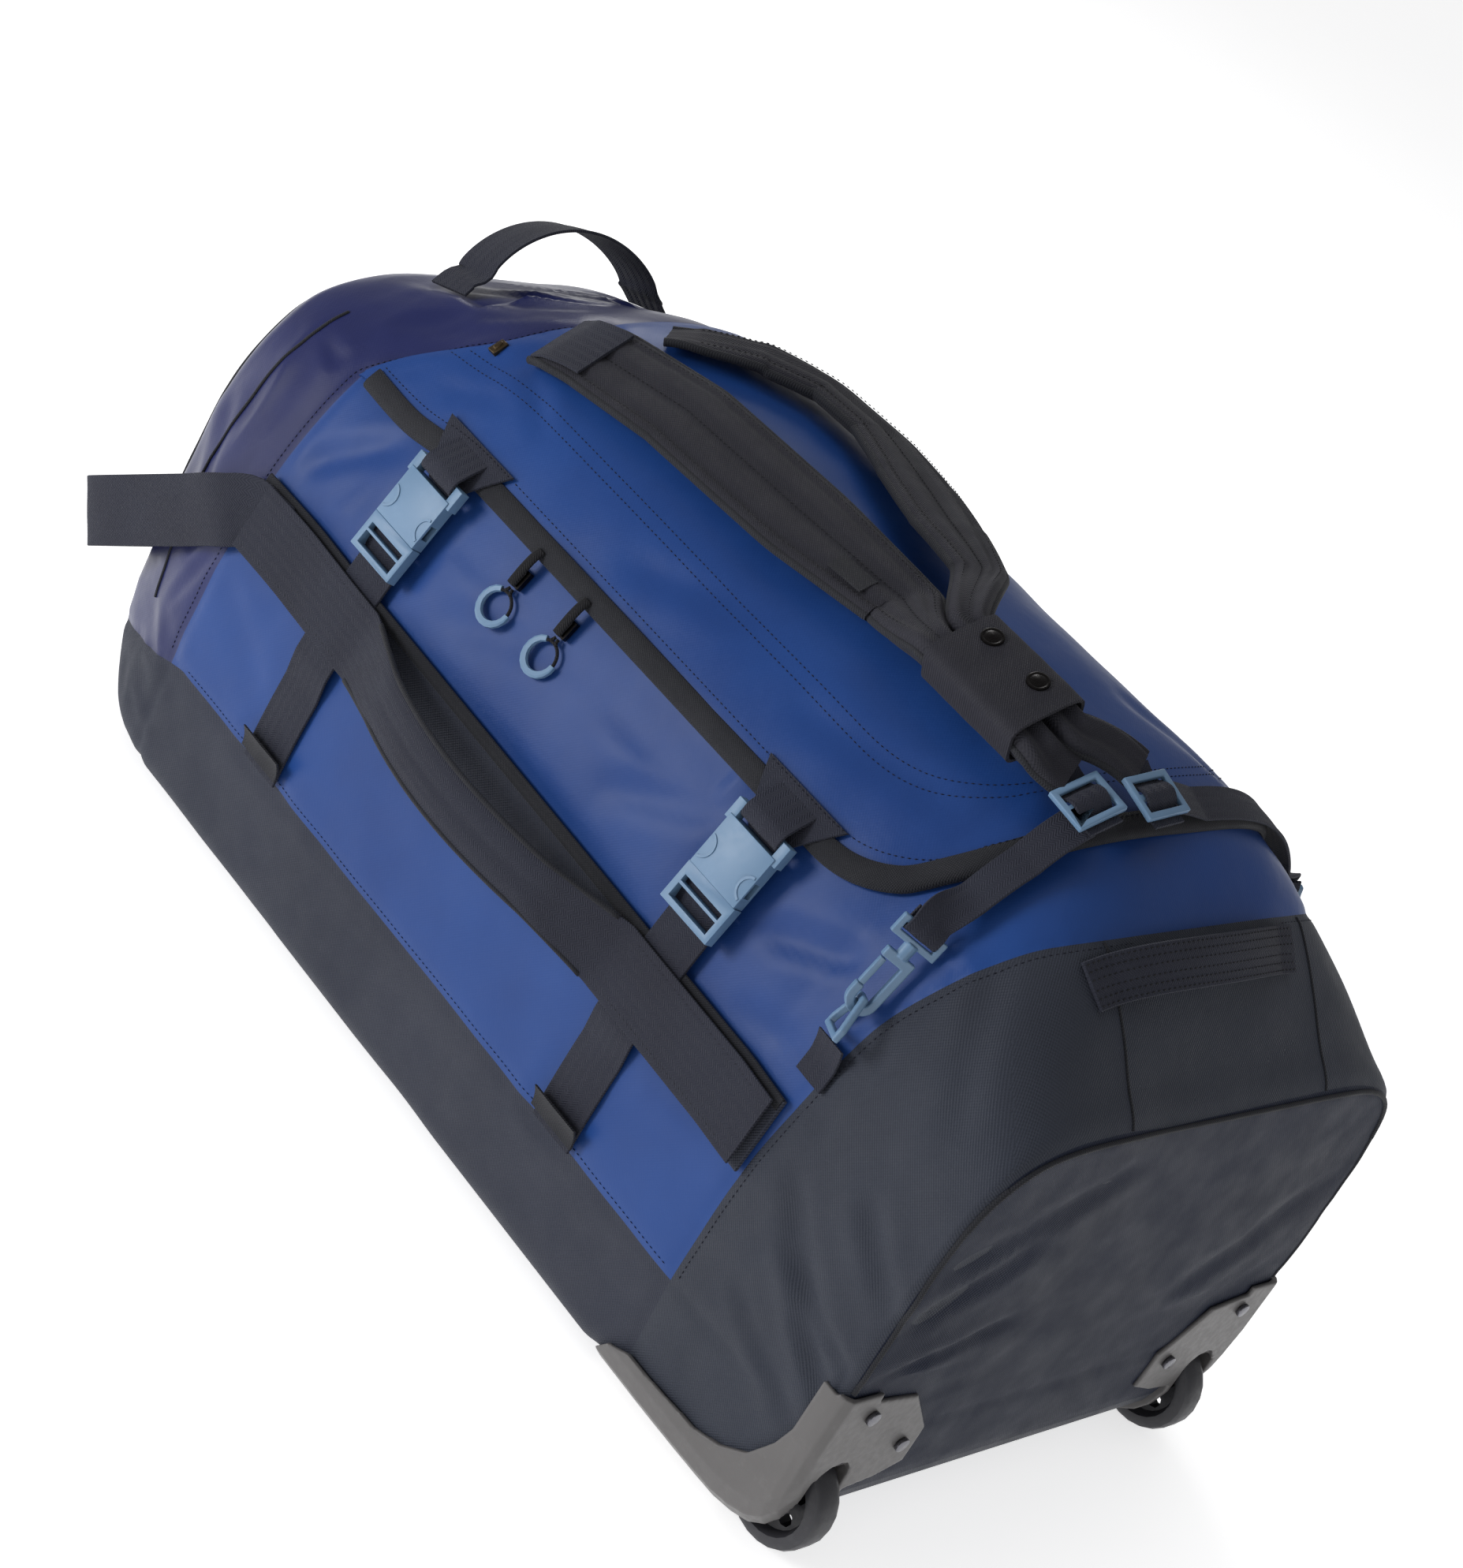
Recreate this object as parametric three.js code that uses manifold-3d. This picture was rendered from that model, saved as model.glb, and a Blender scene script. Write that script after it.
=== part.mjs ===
// Rolling duffel bag: a soft travel bag on two wheels, lying flat on its base.
// Millimetres. +X points to the wheel end, -Y is the side with the main zip pulls, +Z is up.
// The origin is on the floor, in the middle of the bag's overall length and width.

import * as THREE from 'three';
import { mergeVertices } from 'three/addons/utils/BufferGeometryUtils.js';
import Module from 'manifold-3d';

const wasm = await Module();
wasm.setup();

// ---------------------------------------------------------------- driving dimensions

const GAP = 0.3; // clearance between neighbouring pieces
const FABRIC = 3; // wall of the coated fabric with its lining
const WEBBING = 2.2; // thickness of every webbing
const SEAM_HEIGHT = 94; // seam between the base gusset and the side panels
const CROWN = 452; // highest point of the arched top
const HALF_WIDTH = 220; // half the bag's width, at the gusset seam

// Cross-sections along the bag: place along X, half width, underside, crown,
// and how square the arch is (2 is round, 5 is nearly a box).
const STATIONS = [
  { x: -402, half: 182, under: 66, crown: 350, square: 4.4 },
  { x: -397, half: 190, under: 50, crown: 361, square: 4.4 },
  { x: -384, half: 197, under: 34, crown: 371, square: 4.2 },
  { x: -355, half: 208, under: 14, crown: 384, square: 3.7 },
  { x: -325, half: 216, under: 3, crown: 397, square: 3.2 },
  { x: -285, half: HALF_WIDTH, under: 0, crown: 414, square: 2.7 },
  { x: -225, half: HALF_WIDTH, under: 0, crown: 441, square: 2.4 },
  { x: -165, half: HALF_WIDTH, under: 0, crown: CROWN, square: 2.4 },
  { x: 0, half: HALF_WIDTH, under: 0, crown: CROWN, square: 2.4 },
  { x: 240, half: HALF_WIDTH, under: 0, crown: CROWN, square: 2.4 },
  { x: 262, half: HALF_WIDTH, under: 0, crown: 451, square: 2.4 },
  { x: 280, half: HALF_WIDTH, under: 4, crown: 448, square: 2.5 },
  { x: 320, half: HALF_WIDTH, under: 4, crown: 436, square: 2.8 },
  { x: 360, half: 219, under: 4, crown: 409, square: 3.4 },
  { x: 398, half: 218, under: 5, crown: 372, square: 4.6 },
  { x: 422, half: 217, under: 12, crown: 346, square: 6 },
  { x: 437, half: 217, under: 28, crown: 332, square: 7 },
  { x: 443, half: 212, under: 50, crown: 323, square: 7.5 },
];

// ---------------------------------------------------------------- solids and meshes

const toSolid = (geometry) => {
  const bare = geometry.index ? geometry.clone() : geometry;
  bare.deleteAttribute('normal');
  bare.deleteAttribute('uv');
  const merged = mergeVertices(bare, 1e-4);
  return new wasm.Manifold(new wasm.Mesh({
    numProp: 3,
    vertProperties: new Float32Array(merged.attributes.position.array),
    triVerts: new Uint32Array(merged.index.array),
  }));
};

const toGeometry = (solid) => {
  const mesh = solid.getMesh();
  const geometry = new THREE.BufferGeometry();
  geometry.setAttribute('position', new THREE.BufferAttribute(new Float32Array(mesh.vertProperties), 3));
  geometry.setIndex(Array.from(mesh.triVerts));
  geometry.computeVertexNormals();
  return geometry;
};

const bag = new THREE.Group();

const COLOURS = {
  blue: { color: 0x23468a, roughness: 0.42, metalness: 0 },
  navy: { color: 0x3a3c66, roughness: 0.45, metalness: 0 },
  charcoal: { color: 0x33363f, roughness: 0.8, metalness: 0 },
  webbing: { color: 0x2c2d33, roughness: 0.85, metalness: 0 },
  lightBlue: { color: 0x8fb2cf, roughness: 0.4, metalness: 0 },
  graphite: { color: 0x5f5c5c, roughness: 0.5, metalness: 0 },
  wheel: { color: 0x26262a, roughness: 0.55, metalness: 0 },
  steel: { color: 0x8c8c90, roughness: 0.3, metalness: 1 },
  board: { color: 0x2a2a2c, roughness: 0.7, metalness: 0 },
};

const addPiece = (name, solid, colour, matrix) => {
  const geometry = solid.isBufferGeometry ? solid : toGeometry(solid);
  const mesh = new THREE.Mesh(geometry, new THREE.MeshStandardMaterial(COLOURS[colour]));
  mesh.name = name;
  if (matrix) matrix.decompose(mesh.position, mesh.quaternion, mesh.scale);
  bag.add(mesh);
  return mesh;
};

// Reverses every triangle if the surface faces inwards.
const turnOutward = (positions, index) => {
  const corner = (k) => new THREE.Vector3().fromArray(positions, 3 * index[k]);
  let volume = 0;
  for (let k = 0; k < index.length; k += 3) {
    volume += corner(k).dot(corner(k + 1).cross(corner(k + 2)));
  }
  if (volume < 0) index.reverse();
};

// A closed solid through rings of points that all have the same count.
const loft = (rings) => {
  const count = rings[0].length;
  const positions = [];
  rings.forEach((ring) => ring.forEach((p) => positions.push(p.x, p.y, p.z)));
  const index = [];
  for (let i = 0; i < rings.length - 1; i += 1) {
    for (let j = 0; j < count; j += 1) {
      const a = i * count + j;
      const b = i * count + ((j + 1) % count);
      // the diagonals are mirrored half way round, so a symmetric ring gives a symmetric solid
      if (j < count / 2) index.push(a, b, a + count, b, b + count, a + count);
      else index.push(a, b, b + count, a, b + count, a + count);
    }
  }
  const cap = (start, flip) => {
    const centre = positions.length / 3;
    const middle = new THREE.Vector3();
    for (let j = 0; j < count; j += 1) {
      const k = 3 * (start + j);
      middle.x += positions[k] / count;
      middle.y += positions[k + 1] / count;
      middle.z += positions[k + 2] / count;
    }
    positions.push(middle.x, middle.y, middle.z);
    for (let j = 0; j < count; j += 1) {
      const a = start + j;
      const b = start + ((j + 1) % count);
      if (flip) index.push(centre, b, a);
      else index.push(centre, a, b);
    }
  };
  cap(0, true);
  cap((rings.length - 1) * count, false);
  turnOutward(positions, index);
  const geometry = new THREE.BufferGeometry();
  geometry.setAttribute('position', new THREE.Float32BufferAttribute(positions, 3));
  geometry.setIndex(index);
  return toSolid(geometry);
};

// Block between two opposite corners.
const block = (x0, x1, y0, y1, z0, z1) => {
  const geometry = new THREE.BoxGeometry(x1 - x0, y1 - y0, z1 - z0);
  geometry.translate((x0 + x1) / 2, (y0 + y1) / 2, (z0 + z1) / 2);
  return toSolid(geometry);
};

// Round bar from one point to another.
const bar = (from, to, radius, sides = 16) => {
  const a = new THREE.Vector3(...from);
  const b = new THREE.Vector3(...to);
  const geometry = new THREE.CylinderGeometry(radius, radius, a.distanceTo(b), sides);
  geometry.applyQuaternion(new THREE.Quaternion().setFromUnitVectors(
    new THREE.Vector3(0, 1, 0), b.clone().sub(a).normalize()));
  geometry.translate((a.x + b.x) / 2, (a.y + b.y) / 2, (a.z + b.z) / 2);
  return toSolid(geometry);
};

const join = (solids) => solids.reduce((whole, next) => whole.add(next));
const cut = (solid, ...tools) => tools.reduce((rest, tool) => rest.subtract(tool), solid);

// Outline given as [u, v] pairs, extruded along the third axis.
const outline = (points) => new THREE.Shape(points.map(([u, v]) => new THREE.Vector2(u, v)));
const PRISM = { bevelEnabled: false, curveSegments: 8 };
const prismXY = (shape, z0, z1) => {
  const geometry = new THREE.ExtrudeGeometry(shape, { ...PRISM, depth: z1 - z0 });
  geometry.translate(0, 0, z0);
  return toSolid(geometry);
};
const prismXZ = (shape, y0, y1) => {
  const geometry = new THREE.ExtrudeGeometry(shape, { ...PRISM, depth: y1 - y0 });
  geometry.rotateX(Math.PI / 2);
  geometry.translate(0, y1, 0);
  return toSolid(geometry);
};
const prismYZ = (shape, x0, x1) => {
  const geometry = new THREE.ExtrudeGeometry(shape, { ...PRISM, depth: x1 - x0 });
  geometry.rotateX(Math.PI / 2);
  geometry.rotateZ(Math.PI / 2);
  geometry.translate(x0, 0, 0);
  return toSolid(geometry);
};

// Copy of a solid on the other long side of the bag.
const mirrored = (solid) => solid.mirror([0, 1, 0]);

// ---------------------------------------------------------------- the bag's surface

// Smooth value of one measure between the stations (a monotone cubic keeps flat stretches flat).
const measureAt = (x, key) => {
  const last = STATIONS.length - 1;
  const place = Math.min(Math.max(x, STATIONS[0].x), STATIONS[last].x);
  let i = 0;
  while (i < last - 1 && STATIONS[i + 1].x < place) i += 1;
  const slope = (k) => (STATIONS[k + 1][key] - STATIONS[k][key]) / (STATIONS[k + 1].x - STATIONS[k].x);
  const tangent = (k) => {
    if (k === 0) return slope(0);
    if (k === last) return slope(last - 1);
    const before = slope(k - 1);
    const after = slope(k);
    return before * after <= 0 ? 0 : (2 * before * after) / (before + after);
  };
  const span = STATIONS[i + 1].x - STATIONS[i].x;
  const t = (place - STATIONS[i].x) / span;
  const t2 = t * t;
  const t3 = t2 * t;
  return (2 * t3 - 3 * t2 + 1) * STATIONS[i][key] + (t3 - 2 * t2 + t) * span * tangent(i)
    + (3 * t2 - 2 * t3) * STATIONS[i + 1][key] + (t3 - t2) * span * tangent(i + 1);
};

// Half width of the arch at a height, and height of the arch at a distance from the middle.
const sideAt = (x, z, lift = 0) => {
  const square = measureAt(x, 'square');
  const rise = Math.max(0, (z - SEAM_HEIGHT) / (measureAt(x, 'crown') + lift - SEAM_HEIGHT));
  return (measureAt(x, 'half') + lift) * (1 - rise ** (square * 0.85)) ** (1 / square);
};
const topAt = (x, y, lift = 0) => {
  const square = measureAt(x, 'square');
  const across = Math.min(1, Math.abs(y) / (measureAt(x, 'half') + lift));
  const height = measureAt(x, 'crown') + lift - SEAM_HEIGHT;
  return SEAM_HEIGHT + height * (1 - across ** square) ** (1 / (square * 0.85));
};

// One closed ring of the bag at x, pushed out by lift.
const ARCH_STEPS = 9;
const CORNER_STEPS = 3;
const BASE_CORNER = 24; // radius along the two long bottom edges
const ringAt = (x, lift, place = x) => {
  const half = measureAt(x, 'half') + lift;
  const under = measureAt(x, 'under') - lift;
  const crown = measureAt(x, 'crown') + lift;
  const square = measureAt(x, 'square');
  const corner = Math.min(BASE_CORNER + lift, (SEAM_HEIGHT - under) * 0.8);
  const right = [];
  for (let i = 0; i <= CORNER_STEPS; i += 1) {
    const angle = (i / CORNER_STEPS) * (Math.PI / 2);
    right.push([half - 3 - corner + corner * Math.sin(angle), under + corner * (1 - Math.cos(angle))]);
  }
  for (let i = 0; i < ARCH_STEPS; i += 1) {
    const angle = (i / ARCH_STEPS) * (Math.PI / 2);
    right.push([
      half * Math.cos(angle) ** (2 / square),
      SEAM_HEIGHT + (crown - SEAM_HEIGHT) * Math.sin(angle) ** (2 / (square * 0.85)),
    ]);
  }
  const left = right.map(([y, z]) => [-y, z]).reverse();
  return [...right, [0, crown], ...left].map(([y, z]) => new THREE.Vector3(place, y, z));
};

const RING_PLACES = [
  -402, -399, -393, -382, -362, -338, -312, -285, -250, -205, -165, -60, 60, 180,
  262, 270, 280, 300, 320, 340, 360, 380, 398, 412, 424, 433, 439, 443,
];
const bagSolid = (lift) => {
  const ends = [STATIONS[0].x, STATIONS[STATIONS.length - 1].x];
  const stretch = (x) => {
    if (x < -300) return x - lift * ((-300 - x) / (-300 - ends[0]));
    if (x > 400) return x + lift * ((x - 400) / (ends[1] - 400));
    return x;
  };
  return loft(RING_PLACES.map((x) => ringAt(x, lift, stretch(x))));
};

// A skin of the bag from one lift to another.
const skin = (inner, outer) => bagSolid(outer).subtract(bagSolid(inner));

// ---------------------------------------------------------------- places on the surface

const STEP = 0.5; // distance used to measure a slope

// Frame on a long side: u along the bag, v up the slope, n outwards. side is -1 or 1 (the sign of Y).
const sideFrame = (x, z, lift = 0, side = -1) => {
  const alongX = (sideAt(x + STEP, z) - sideAt(x - STEP, z)) / (2 * STEP);
  const alongZ = (sideAt(x, z + STEP) - sideAt(x, z - STEP)) / (2 * STEP);
  const n = new THREE.Vector3(-alongX, side, -alongZ).normalize();
  const u = new THREE.Vector3(-side, 0, 0);
  const v = n.clone().cross(u).normalize();
  const p = new THREE.Vector3(x, side * sideAt(x, z), z).addScaledVector(n, lift);
  return { p, n, v, u: v.clone().cross(n) };
};

// Frame on the arched top: u along the bag, v across it, n outwards.
const topFrame = (x, y, lift = 0) => {
  const alongX = (topAt(x + STEP, y) - topAt(x - STEP, y)) / (2 * STEP);
  const alongY = (topAt(x, y + STEP) - topAt(x, y - STEP)) / (2 * STEP);
  const n = new THREE.Vector3(-alongX, -alongY, 1).normalize();
  const v = new THREE.Vector3(0, 1, alongY).normalize();
  const p = new THREE.Vector3(x, y, topAt(x, y)).addScaledVector(n, lift);
  return { p, n, v, u: v.clone().cross(n) };
};

const frameMatrix = ({ p, u, v, n }) => new THREE.Matrix4().makeBasis(u, v, n).setPosition(p);

// Flat band through frames of { p, n, across, width, thick }, with its long edges chamfered.
const ribbon = (frames) => loft(frames.map(({ p, n, across, width, thick }) => {
  const half = width / 2;
  const deep = thick / 2;
  const bevel = thick * 0.3;
  const corners = [
    [half, deep - bevel], [half - bevel, deep], [bevel - half, deep], [-half, deep - bevel],
    [-half, bevel - deep], [bevel - half, -deep], [half - bevel, -deep], [half, bevel - deep],
  ];
  return corners.map(([a, b]) => p.clone().addScaledVector(across, a).addScaledVector(n, b));
}));

// Values between keys [place, value, ...], eased by straight lines.
const between = (keys, place) => {
  const last = keys.length - 1;
  if (place <= keys[0][0]) return keys[0].slice(1);
  if (place >= keys[last][0]) return keys[last].slice(1);
  const i = keys.findIndex((key) => key[0] > place) - 1;
  const t = (place - keys[i][0]) / (keys[i + 1][0] - keys[i][0]);
  return keys[i].slice(1).map((value, k) => value + t * (keys[i + 1][k + 1] - value));
};
const steps = (from, to, count) => Array.from(
  { length: count + 1 },
  (_, i) => from + ((to - from) * i) / count,
);

// ---------------------------------------------------------------- sewn shell

const LID_HALF = 168; // half width of the lid flap
const LID_NEAR = 314; // wheel end of the lid, on the middle line
const LID_FAR = -300;
const HINGE_X = -234; // the lid folds back about a line across the crown here
const HINGE_FOLD = 8; // strip beside the hinge line that bends, and so belongs to neither panel
const ZIP_INSET = 26; // the lid flap laps this far over the zipped opening

// Plan of the lid, drawn in by inset.
const lidPlan = (inset, far = LID_FAR) => {
  const w = LID_HALF - inset;
  const near = LID_NEAR - inset;
  const shape = new THREE.Shape();
  shape.moveTo(far, -w);
  shape.lineTo(near - 110, -w);
  shape.bezierCurveTo(near - 20, -w, near, -0.72 * w, near, 0);
  shape.bezierCurveTo(near, 0.72 * w, near - 20, w, near - 110, w);
  shape.lineTo(far, w);
  shape.closePath();
  return shape;
};

// Seam lines in side view, as regions to cut with; shift moves them along X.
const bootRegion = (shift) => prismXZ(outline([
  [306, -60], [303, 96], [303, 180], [308, 240], [314, 300], [328, 345], [346, 384], [368, 415],
  [376, 500], [520, 500], [520, -60]].map(([x, z]) => [x + shift, z])), -300, 300);
const capRegion = (shift) => prismXZ(outline([
  [-300, -60], [-300, 332], [-290, 350], [-262, 380], [-241, 401], [-228, 421], [-212, 439],
  [-206, 500], [-520, 500], [-520, -60]].map(([x, z]) => [x + shift, z])), -300, 300);
const gussetRegion = (shift) => prismXZ(outline([
  [520, SEAM_HEIGHT], [-285, SEAM_HEIGHT + 2], [-345, 78], [-420, 52], [-420, -60], [520, -60],
].map(([x, z]) => [x, z + shift])), -300, 300);

const WHEEL_RADIUS = 36;
const WHEEL_WIDTH = 23;
const WHEEL_X = 425;
const WHEEL_Y = 186;
const WELL_RADIUS = 40; // room round the wheel inside its housing
const HOUSE_RADIUS = 44;
const HOUSE_INNER_Y = 166;

const mouth = prismXY(lidPlan(ZIP_INSET, HINGE_X + ZIP_INSET + 8), 200, 600);
const hollow = cut(bagSolid(0), bagSolid(-FABRIC), mouth);
const seamGap = GAP / 2; // each panel stops this far from the seam line

const HOUSE_OUTER_Y = 205; // beyond this the housing stays below the rail's top edge
// Side view of the corner guard's rail; drop lowers its top edge.
const RAIL_EDGE = [
  [279, -10], [280, 13], [289, 26], [306, 34], [330, 35], [370, 38], [390, 45], [408, 58],
  [420, 80], [428, 108], [433, 131], [438, 140], [470, 140], [470, -10],
];
const railRegion = (y0, y1, drop = 0) => prismXZ(
  outline(RAIL_EDGE.map(([x, z]) => [x, z - drop])),
  y0,
  y1,
);
const houseBar = (y0, y1, radius) => bar(
  [WHEEL_X, y0, WHEEL_RADIUS],
  [WHEEL_X, y1, WHEEL_RADIUS],
  radius,
  24,
);
const houseSolid = (clearance) => houseBar(
  HOUSE_INNER_Y - clearance,
  HOUSE_OUTER_Y + clearance,
  HOUSE_RADIUS + clearance,
)
  .add(houseBar(HOUSE_OUTER_Y, 260, HOUSE_RADIUS + clearance).intersect(railRegion(150, 260, 1 - clearance)));
const wellCut = houseSolid(GAP);

const SCREWS = [[188, 122], [136, 85]]; // screw places on the end face, from the middle and the floor
const screwHoles = (side, radius) => join(SCREWS.map(
  ([y, z]) => bar([420, side * y, z], [460, side * y, z], radius, 8),
));

addPiece('bottom_gusset', cut(hollow.intersect(gussetRegion(-seamGap)), bootRegion(-seamGap)), 'charcoal');
const sides = cut(hollow, gussetRegion(seamGap), bootRegion(-seamGap), capRegion(seamGap));
addPiece('side_panel_left', sides.intersect(block(-520, 520, -300, -seamGap, -10, 600)), 'blue');
addPiece('side_panel_right', sides.intersect(block(-520, 520, seamGap, 300, -10, 600)), 'blue');
addPiece('end_cap', cut(hollow.intersect(capRegion(-seamGap)), gussetRegion(seamGap)), 'navy');
addPiece('wheel_boot', cut(hollow.intersect(bootRegion(seamGap)), mirrored(wellCut), wellCut,
  screwHoles(-1, 2.4), screwHoles(1, 2.4)), 'charcoal');
addPiece('base_board', block(-280, 262, -182, 182, FABRIC + 0.4, FABRIC + 3.4), 'board');

// ---------------------------------------------------------------- lid

const LID_THICK = 4;
const lidSpan = block(HINGE_X + HINGE_FOLD, 520, -300, 300, 250, 600);
const lidSkin = skin(GAP, GAP + LID_THICK).intersect(lidSpan);
addPiece('lid_panel', cut(lidSkin.intersect(prismXY(lidPlan(0), 250, 600)), capRegion(GAP)), 'blue');

// Binding round the lid's free edge, with the four webbing tabs that hold the buckles.
const BINDING_WIDE = 5;
const STRAP_X = 177; // the two compression straps on each side
const TAB_TOP = 350;
const TAB_LOW = 318;
const bindingRing = cut(skin(GAP, GAP + 5), prismXY(lidPlan(-GAP), 250, 600))
  .intersect(prismXY(lidPlan(-BINDING_WIDE), 250, 600))
  .intersect(lidSpan);
const tabSkin = cut(skin(GAP, GAP + WEBBING), prismXY(lidPlan(-GAP), 250, 600));
const tab = (x, side) => {
  const shape = outline([[x - 34, TAB_TOP], [x + 34, TAB_TOP], [x + 19, TAB_LOW], [x - 19, TAB_LOW]]);
  return tabSkin.intersect(prismXZ(shape, Math.min(0, side * 300), Math.max(0, side * 300)));
};
const tabs = [[-STRAP_X, -1], [STRAP_X, -1], [-STRAP_X, 1], [STRAP_X, 1]].map(([x, side]) => tab(x, side));
addPiece('lid_binding', join([bindingRing, ...tabs]), 'webbing');

// ---------------------------------------------------------------- side bands, straps and handles

const BAND_THICK = 3;
const bandMiddle = (x) => 218 - 0.025 * x; // height of the band's middle line
const bandShape = outline([[-299, bandMiddle(-299) - 28], [302, bandMiddle(302) - 28],
  [302, bandMiddle(302) + 28], [-299, bandMiddle(-299) + 28]]);
const band = skin(GAP, GAP + BAND_THICK).intersect(prismXZ(bandShape, -300, 0));
addPiece('side_band_left', band, 'charcoal');
addPiece('side_band_right', mirrored(band), 'charcoal');

// Grab handle: webbing along the band that stands off in a padded arch in the middle.
const HANDLE_LIFT = BAND_THICK + 1.5 * WEBBING + 2.4; // clear of the strap that passes under it
const HANDLE_ARCH = 38;
const HANDLE_REACH = 150; // half the length of the free arch
const handlePlaces = [-288, -240, -200, -165, ...steps(-HANDLE_REACH, HANDLE_REACH, 14), 165, 200, 240, 298];
const handleFrames = handlePlaces.map((x) => {
  const rise = Math.max(0, 1 - (x / HANDLE_REACH) ** 2);
  const padded = Math.min(1, rise * 1.6);
  const frame = sideFrame(x, bandMiddle(x), HANDLE_LIFT + HANDLE_ARCH * rise ** 1.3);
  return {
    p: frame.p,
    n: frame.n,
    across: frame.v,
    width: 50 - 12 * padded,
    thick: WEBBING + 10 * padded * rise,
  };
});
const grabHandle = ribbon(handleFrames);
addPiece('grab_handle_left', grabHandle, 'webbing');
addPiece('grab_handle_right', mirrored(grabHandle), 'webbing');

// Lower webbing of each compression strap: from the gusset seam, under the handle, up to the buckle.
const STRAP_WIDE = 38;
const strapKeys = [[96, 1.5], [165, 1.5], [184, 5], [262, 5]];
const lowerStrap = (x, side) => ribbon([...steps(97, 165, 3), 174, ...steps(184, 262, 5)].map((z) => {
  const frame = sideFrame(x, z, between(strapKeys, z)[0], side);
  return { p: frame.p, n: frame.n, across: frame.u, width: STRAP_WIDE, thick: WEBBING };
}));

// Side-release buckle in its own frame: u across the webbing, v up the strap, w outwards.
const BUCKLE_HEIGHT = 291; // where the two halves meet
const BUCKLE_LIFT = 10.4; // the released plug slides down clear of the webbing behind it
const buckleSocket = cut(
  join([block(-22, 22, 0, 38, -5, 5), block(-25, -18, 34, 49, -4, 4), block(18, 25, 34, 49, -4, 4),
    block(-25, 25, 44.5, 49, -3, 3)]),
  block(-18, 18, -1, 30, -3.6, 3.6),
  block(-30, -17, 8, 19, -3, 3),
  block(17, 30, 8, 19, -3, 3),
);
const bucklePlug = cut(
  join([
    block(-23, 23, -28, -GAP, -4, 4),
    block(-17.4, -12.5, -2, 17, -3, 3),
    block(12.5, 17.4, -2, 17, -3, 3),
    block(-4, 4, -2, 15, -3, 3),
  ]),
  block(-18.5, 18.5, -24, -14.5, -6, 6),
  block(-18.5, 18.5, -12.5, -8, -6, 6),
);

const SIDES = [['left', -1], ['right', 1]];
SIDES.forEach(([sideName, side]) => {
  [['far', -STRAP_X], ['near', STRAP_X]].forEach(([endName, x]) => {
    const label = `${endName}_${sideName}`;
    const place = frameMatrix(sideFrame(x, BUCKLE_HEIGHT, BUCKLE_LIFT, side));
    addPiece(`side_strap_${label}`, lowerStrap(x, side), 'webbing');
    addPiece(`buckle_socket_${label}`, buckleSocket, 'lightBlue', place);
    addPiece(`buckle_plug_${label}`, bucklePlug, 'lightBlue', place);
  });
});

// Haul handle over the far end: an arch of webbing standing along the surface's normal.
const HAUL_X = -328;
const haulBase = topFrame(HAUL_X, 0, 0);
const HAUL_HALF = 80;
const HAUL_RISE = 46;
const HAUL_FOOT = topFrame(HAUL_X, HAUL_HALF, 0).p.clone().sub(haulBase.p).dot(haulBase.n);
const haulFrames = steps(-HAUL_HALF, HAUL_HALF, 14).map((y) => {
  const t = y / HAUL_HALF;
  const height = HAUL_FOOT + 12 + (HAUL_RISE - HAUL_FOOT - 12) * (1 - t * t) ** 0.75;
  const slope = t * 1.1;
  const n = new THREE.Vector3(0, Math.sin(slope), 0)
    .addScaledVector(haulBase.n, Math.cos(slope))
    .normalize();
  const p = haulBase.p.clone().addScaledVector(haulBase.n, height);
  p.y = y;
  return { p, n, across: haulBase.u, width: STRAP_WIDE, thick: WEBBING };
});
addPiece('haul_handle', ribbon(haulFrames), 'webbing');

// Tow handle: a loop of webbing that hangs round the far end from the ends of the two bands.
const TOW_X = -300;
const TOW_Z = 222;
const TOW_DROOP = 36 * (Math.PI / 180);
const TOW_LEG = 223; // distance of the legs from the middle plane
const TOW_REACH = 179.7;
const TOW_CORNER = 20;
const towOut = new THREE.Vector3(-Math.cos(TOW_DROOP), 0, -Math.sin(TOW_DROOP));
const towAcross = new THREE.Vector3(Math.sin(TOW_DROOP), 0, -Math.cos(TOW_DROOP));
const towPoint = (reach, y, angle) => ({
  p: new THREE.Vector3(TOW_X, y, TOW_Z).addScaledVector(towOut, reach),
  n: new THREE.Vector3(0, Math.sign(y || 1) * Math.cos(angle), 0).addScaledVector(towOut, Math.sin(angle)),
  across: towAcross,
  width: 50,
  thick: WEBBING,
});
const towCorner = (side) => steps(0, Math.PI / 2, 5).map((angle) => towPoint(
  TOW_REACH - TOW_CORNER + TOW_CORNER * Math.sin(angle),
  side * (TOW_LEG - TOW_CORNER + TOW_CORNER * Math.cos(angle)), angle));
const towFrames = [towPoint(9, -TOW_LEG, 0), towPoint(60, -TOW_LEG, 0), ...towCorner(-1),
  ...towCorner(1).reverse(), towPoint(60, TOW_LEG, 0), towPoint(9, TOW_LEG, 0)];
addPiece('tow_handle', ribbon(towFrames), 'webbing');

// Lift handle sewn across the top of the wheel-end boot.
const LIFT_X = 378;
const LIFT_Y = -22; // middle of the handle, a little towards the -Y side
const LIFT_HALF = 98;
const liftFrames = steps(-LIFT_HALF, LIFT_HALF, 12).map((y) => {
  const frame = topFrame(LIFT_X, LIFT_Y + y, 2 + 12 * Math.max(0, 1 - (y / 82) ** 2));
  return { p: frame.p, n: frame.n, across: frame.u, width: 30, thick: WEBBING + 0.8 };
});
addPiece('boot_handle', ribbon(liftFrames), 'webbing');

// ---------------------------------------------------------------- wheel housings and wheels

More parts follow.
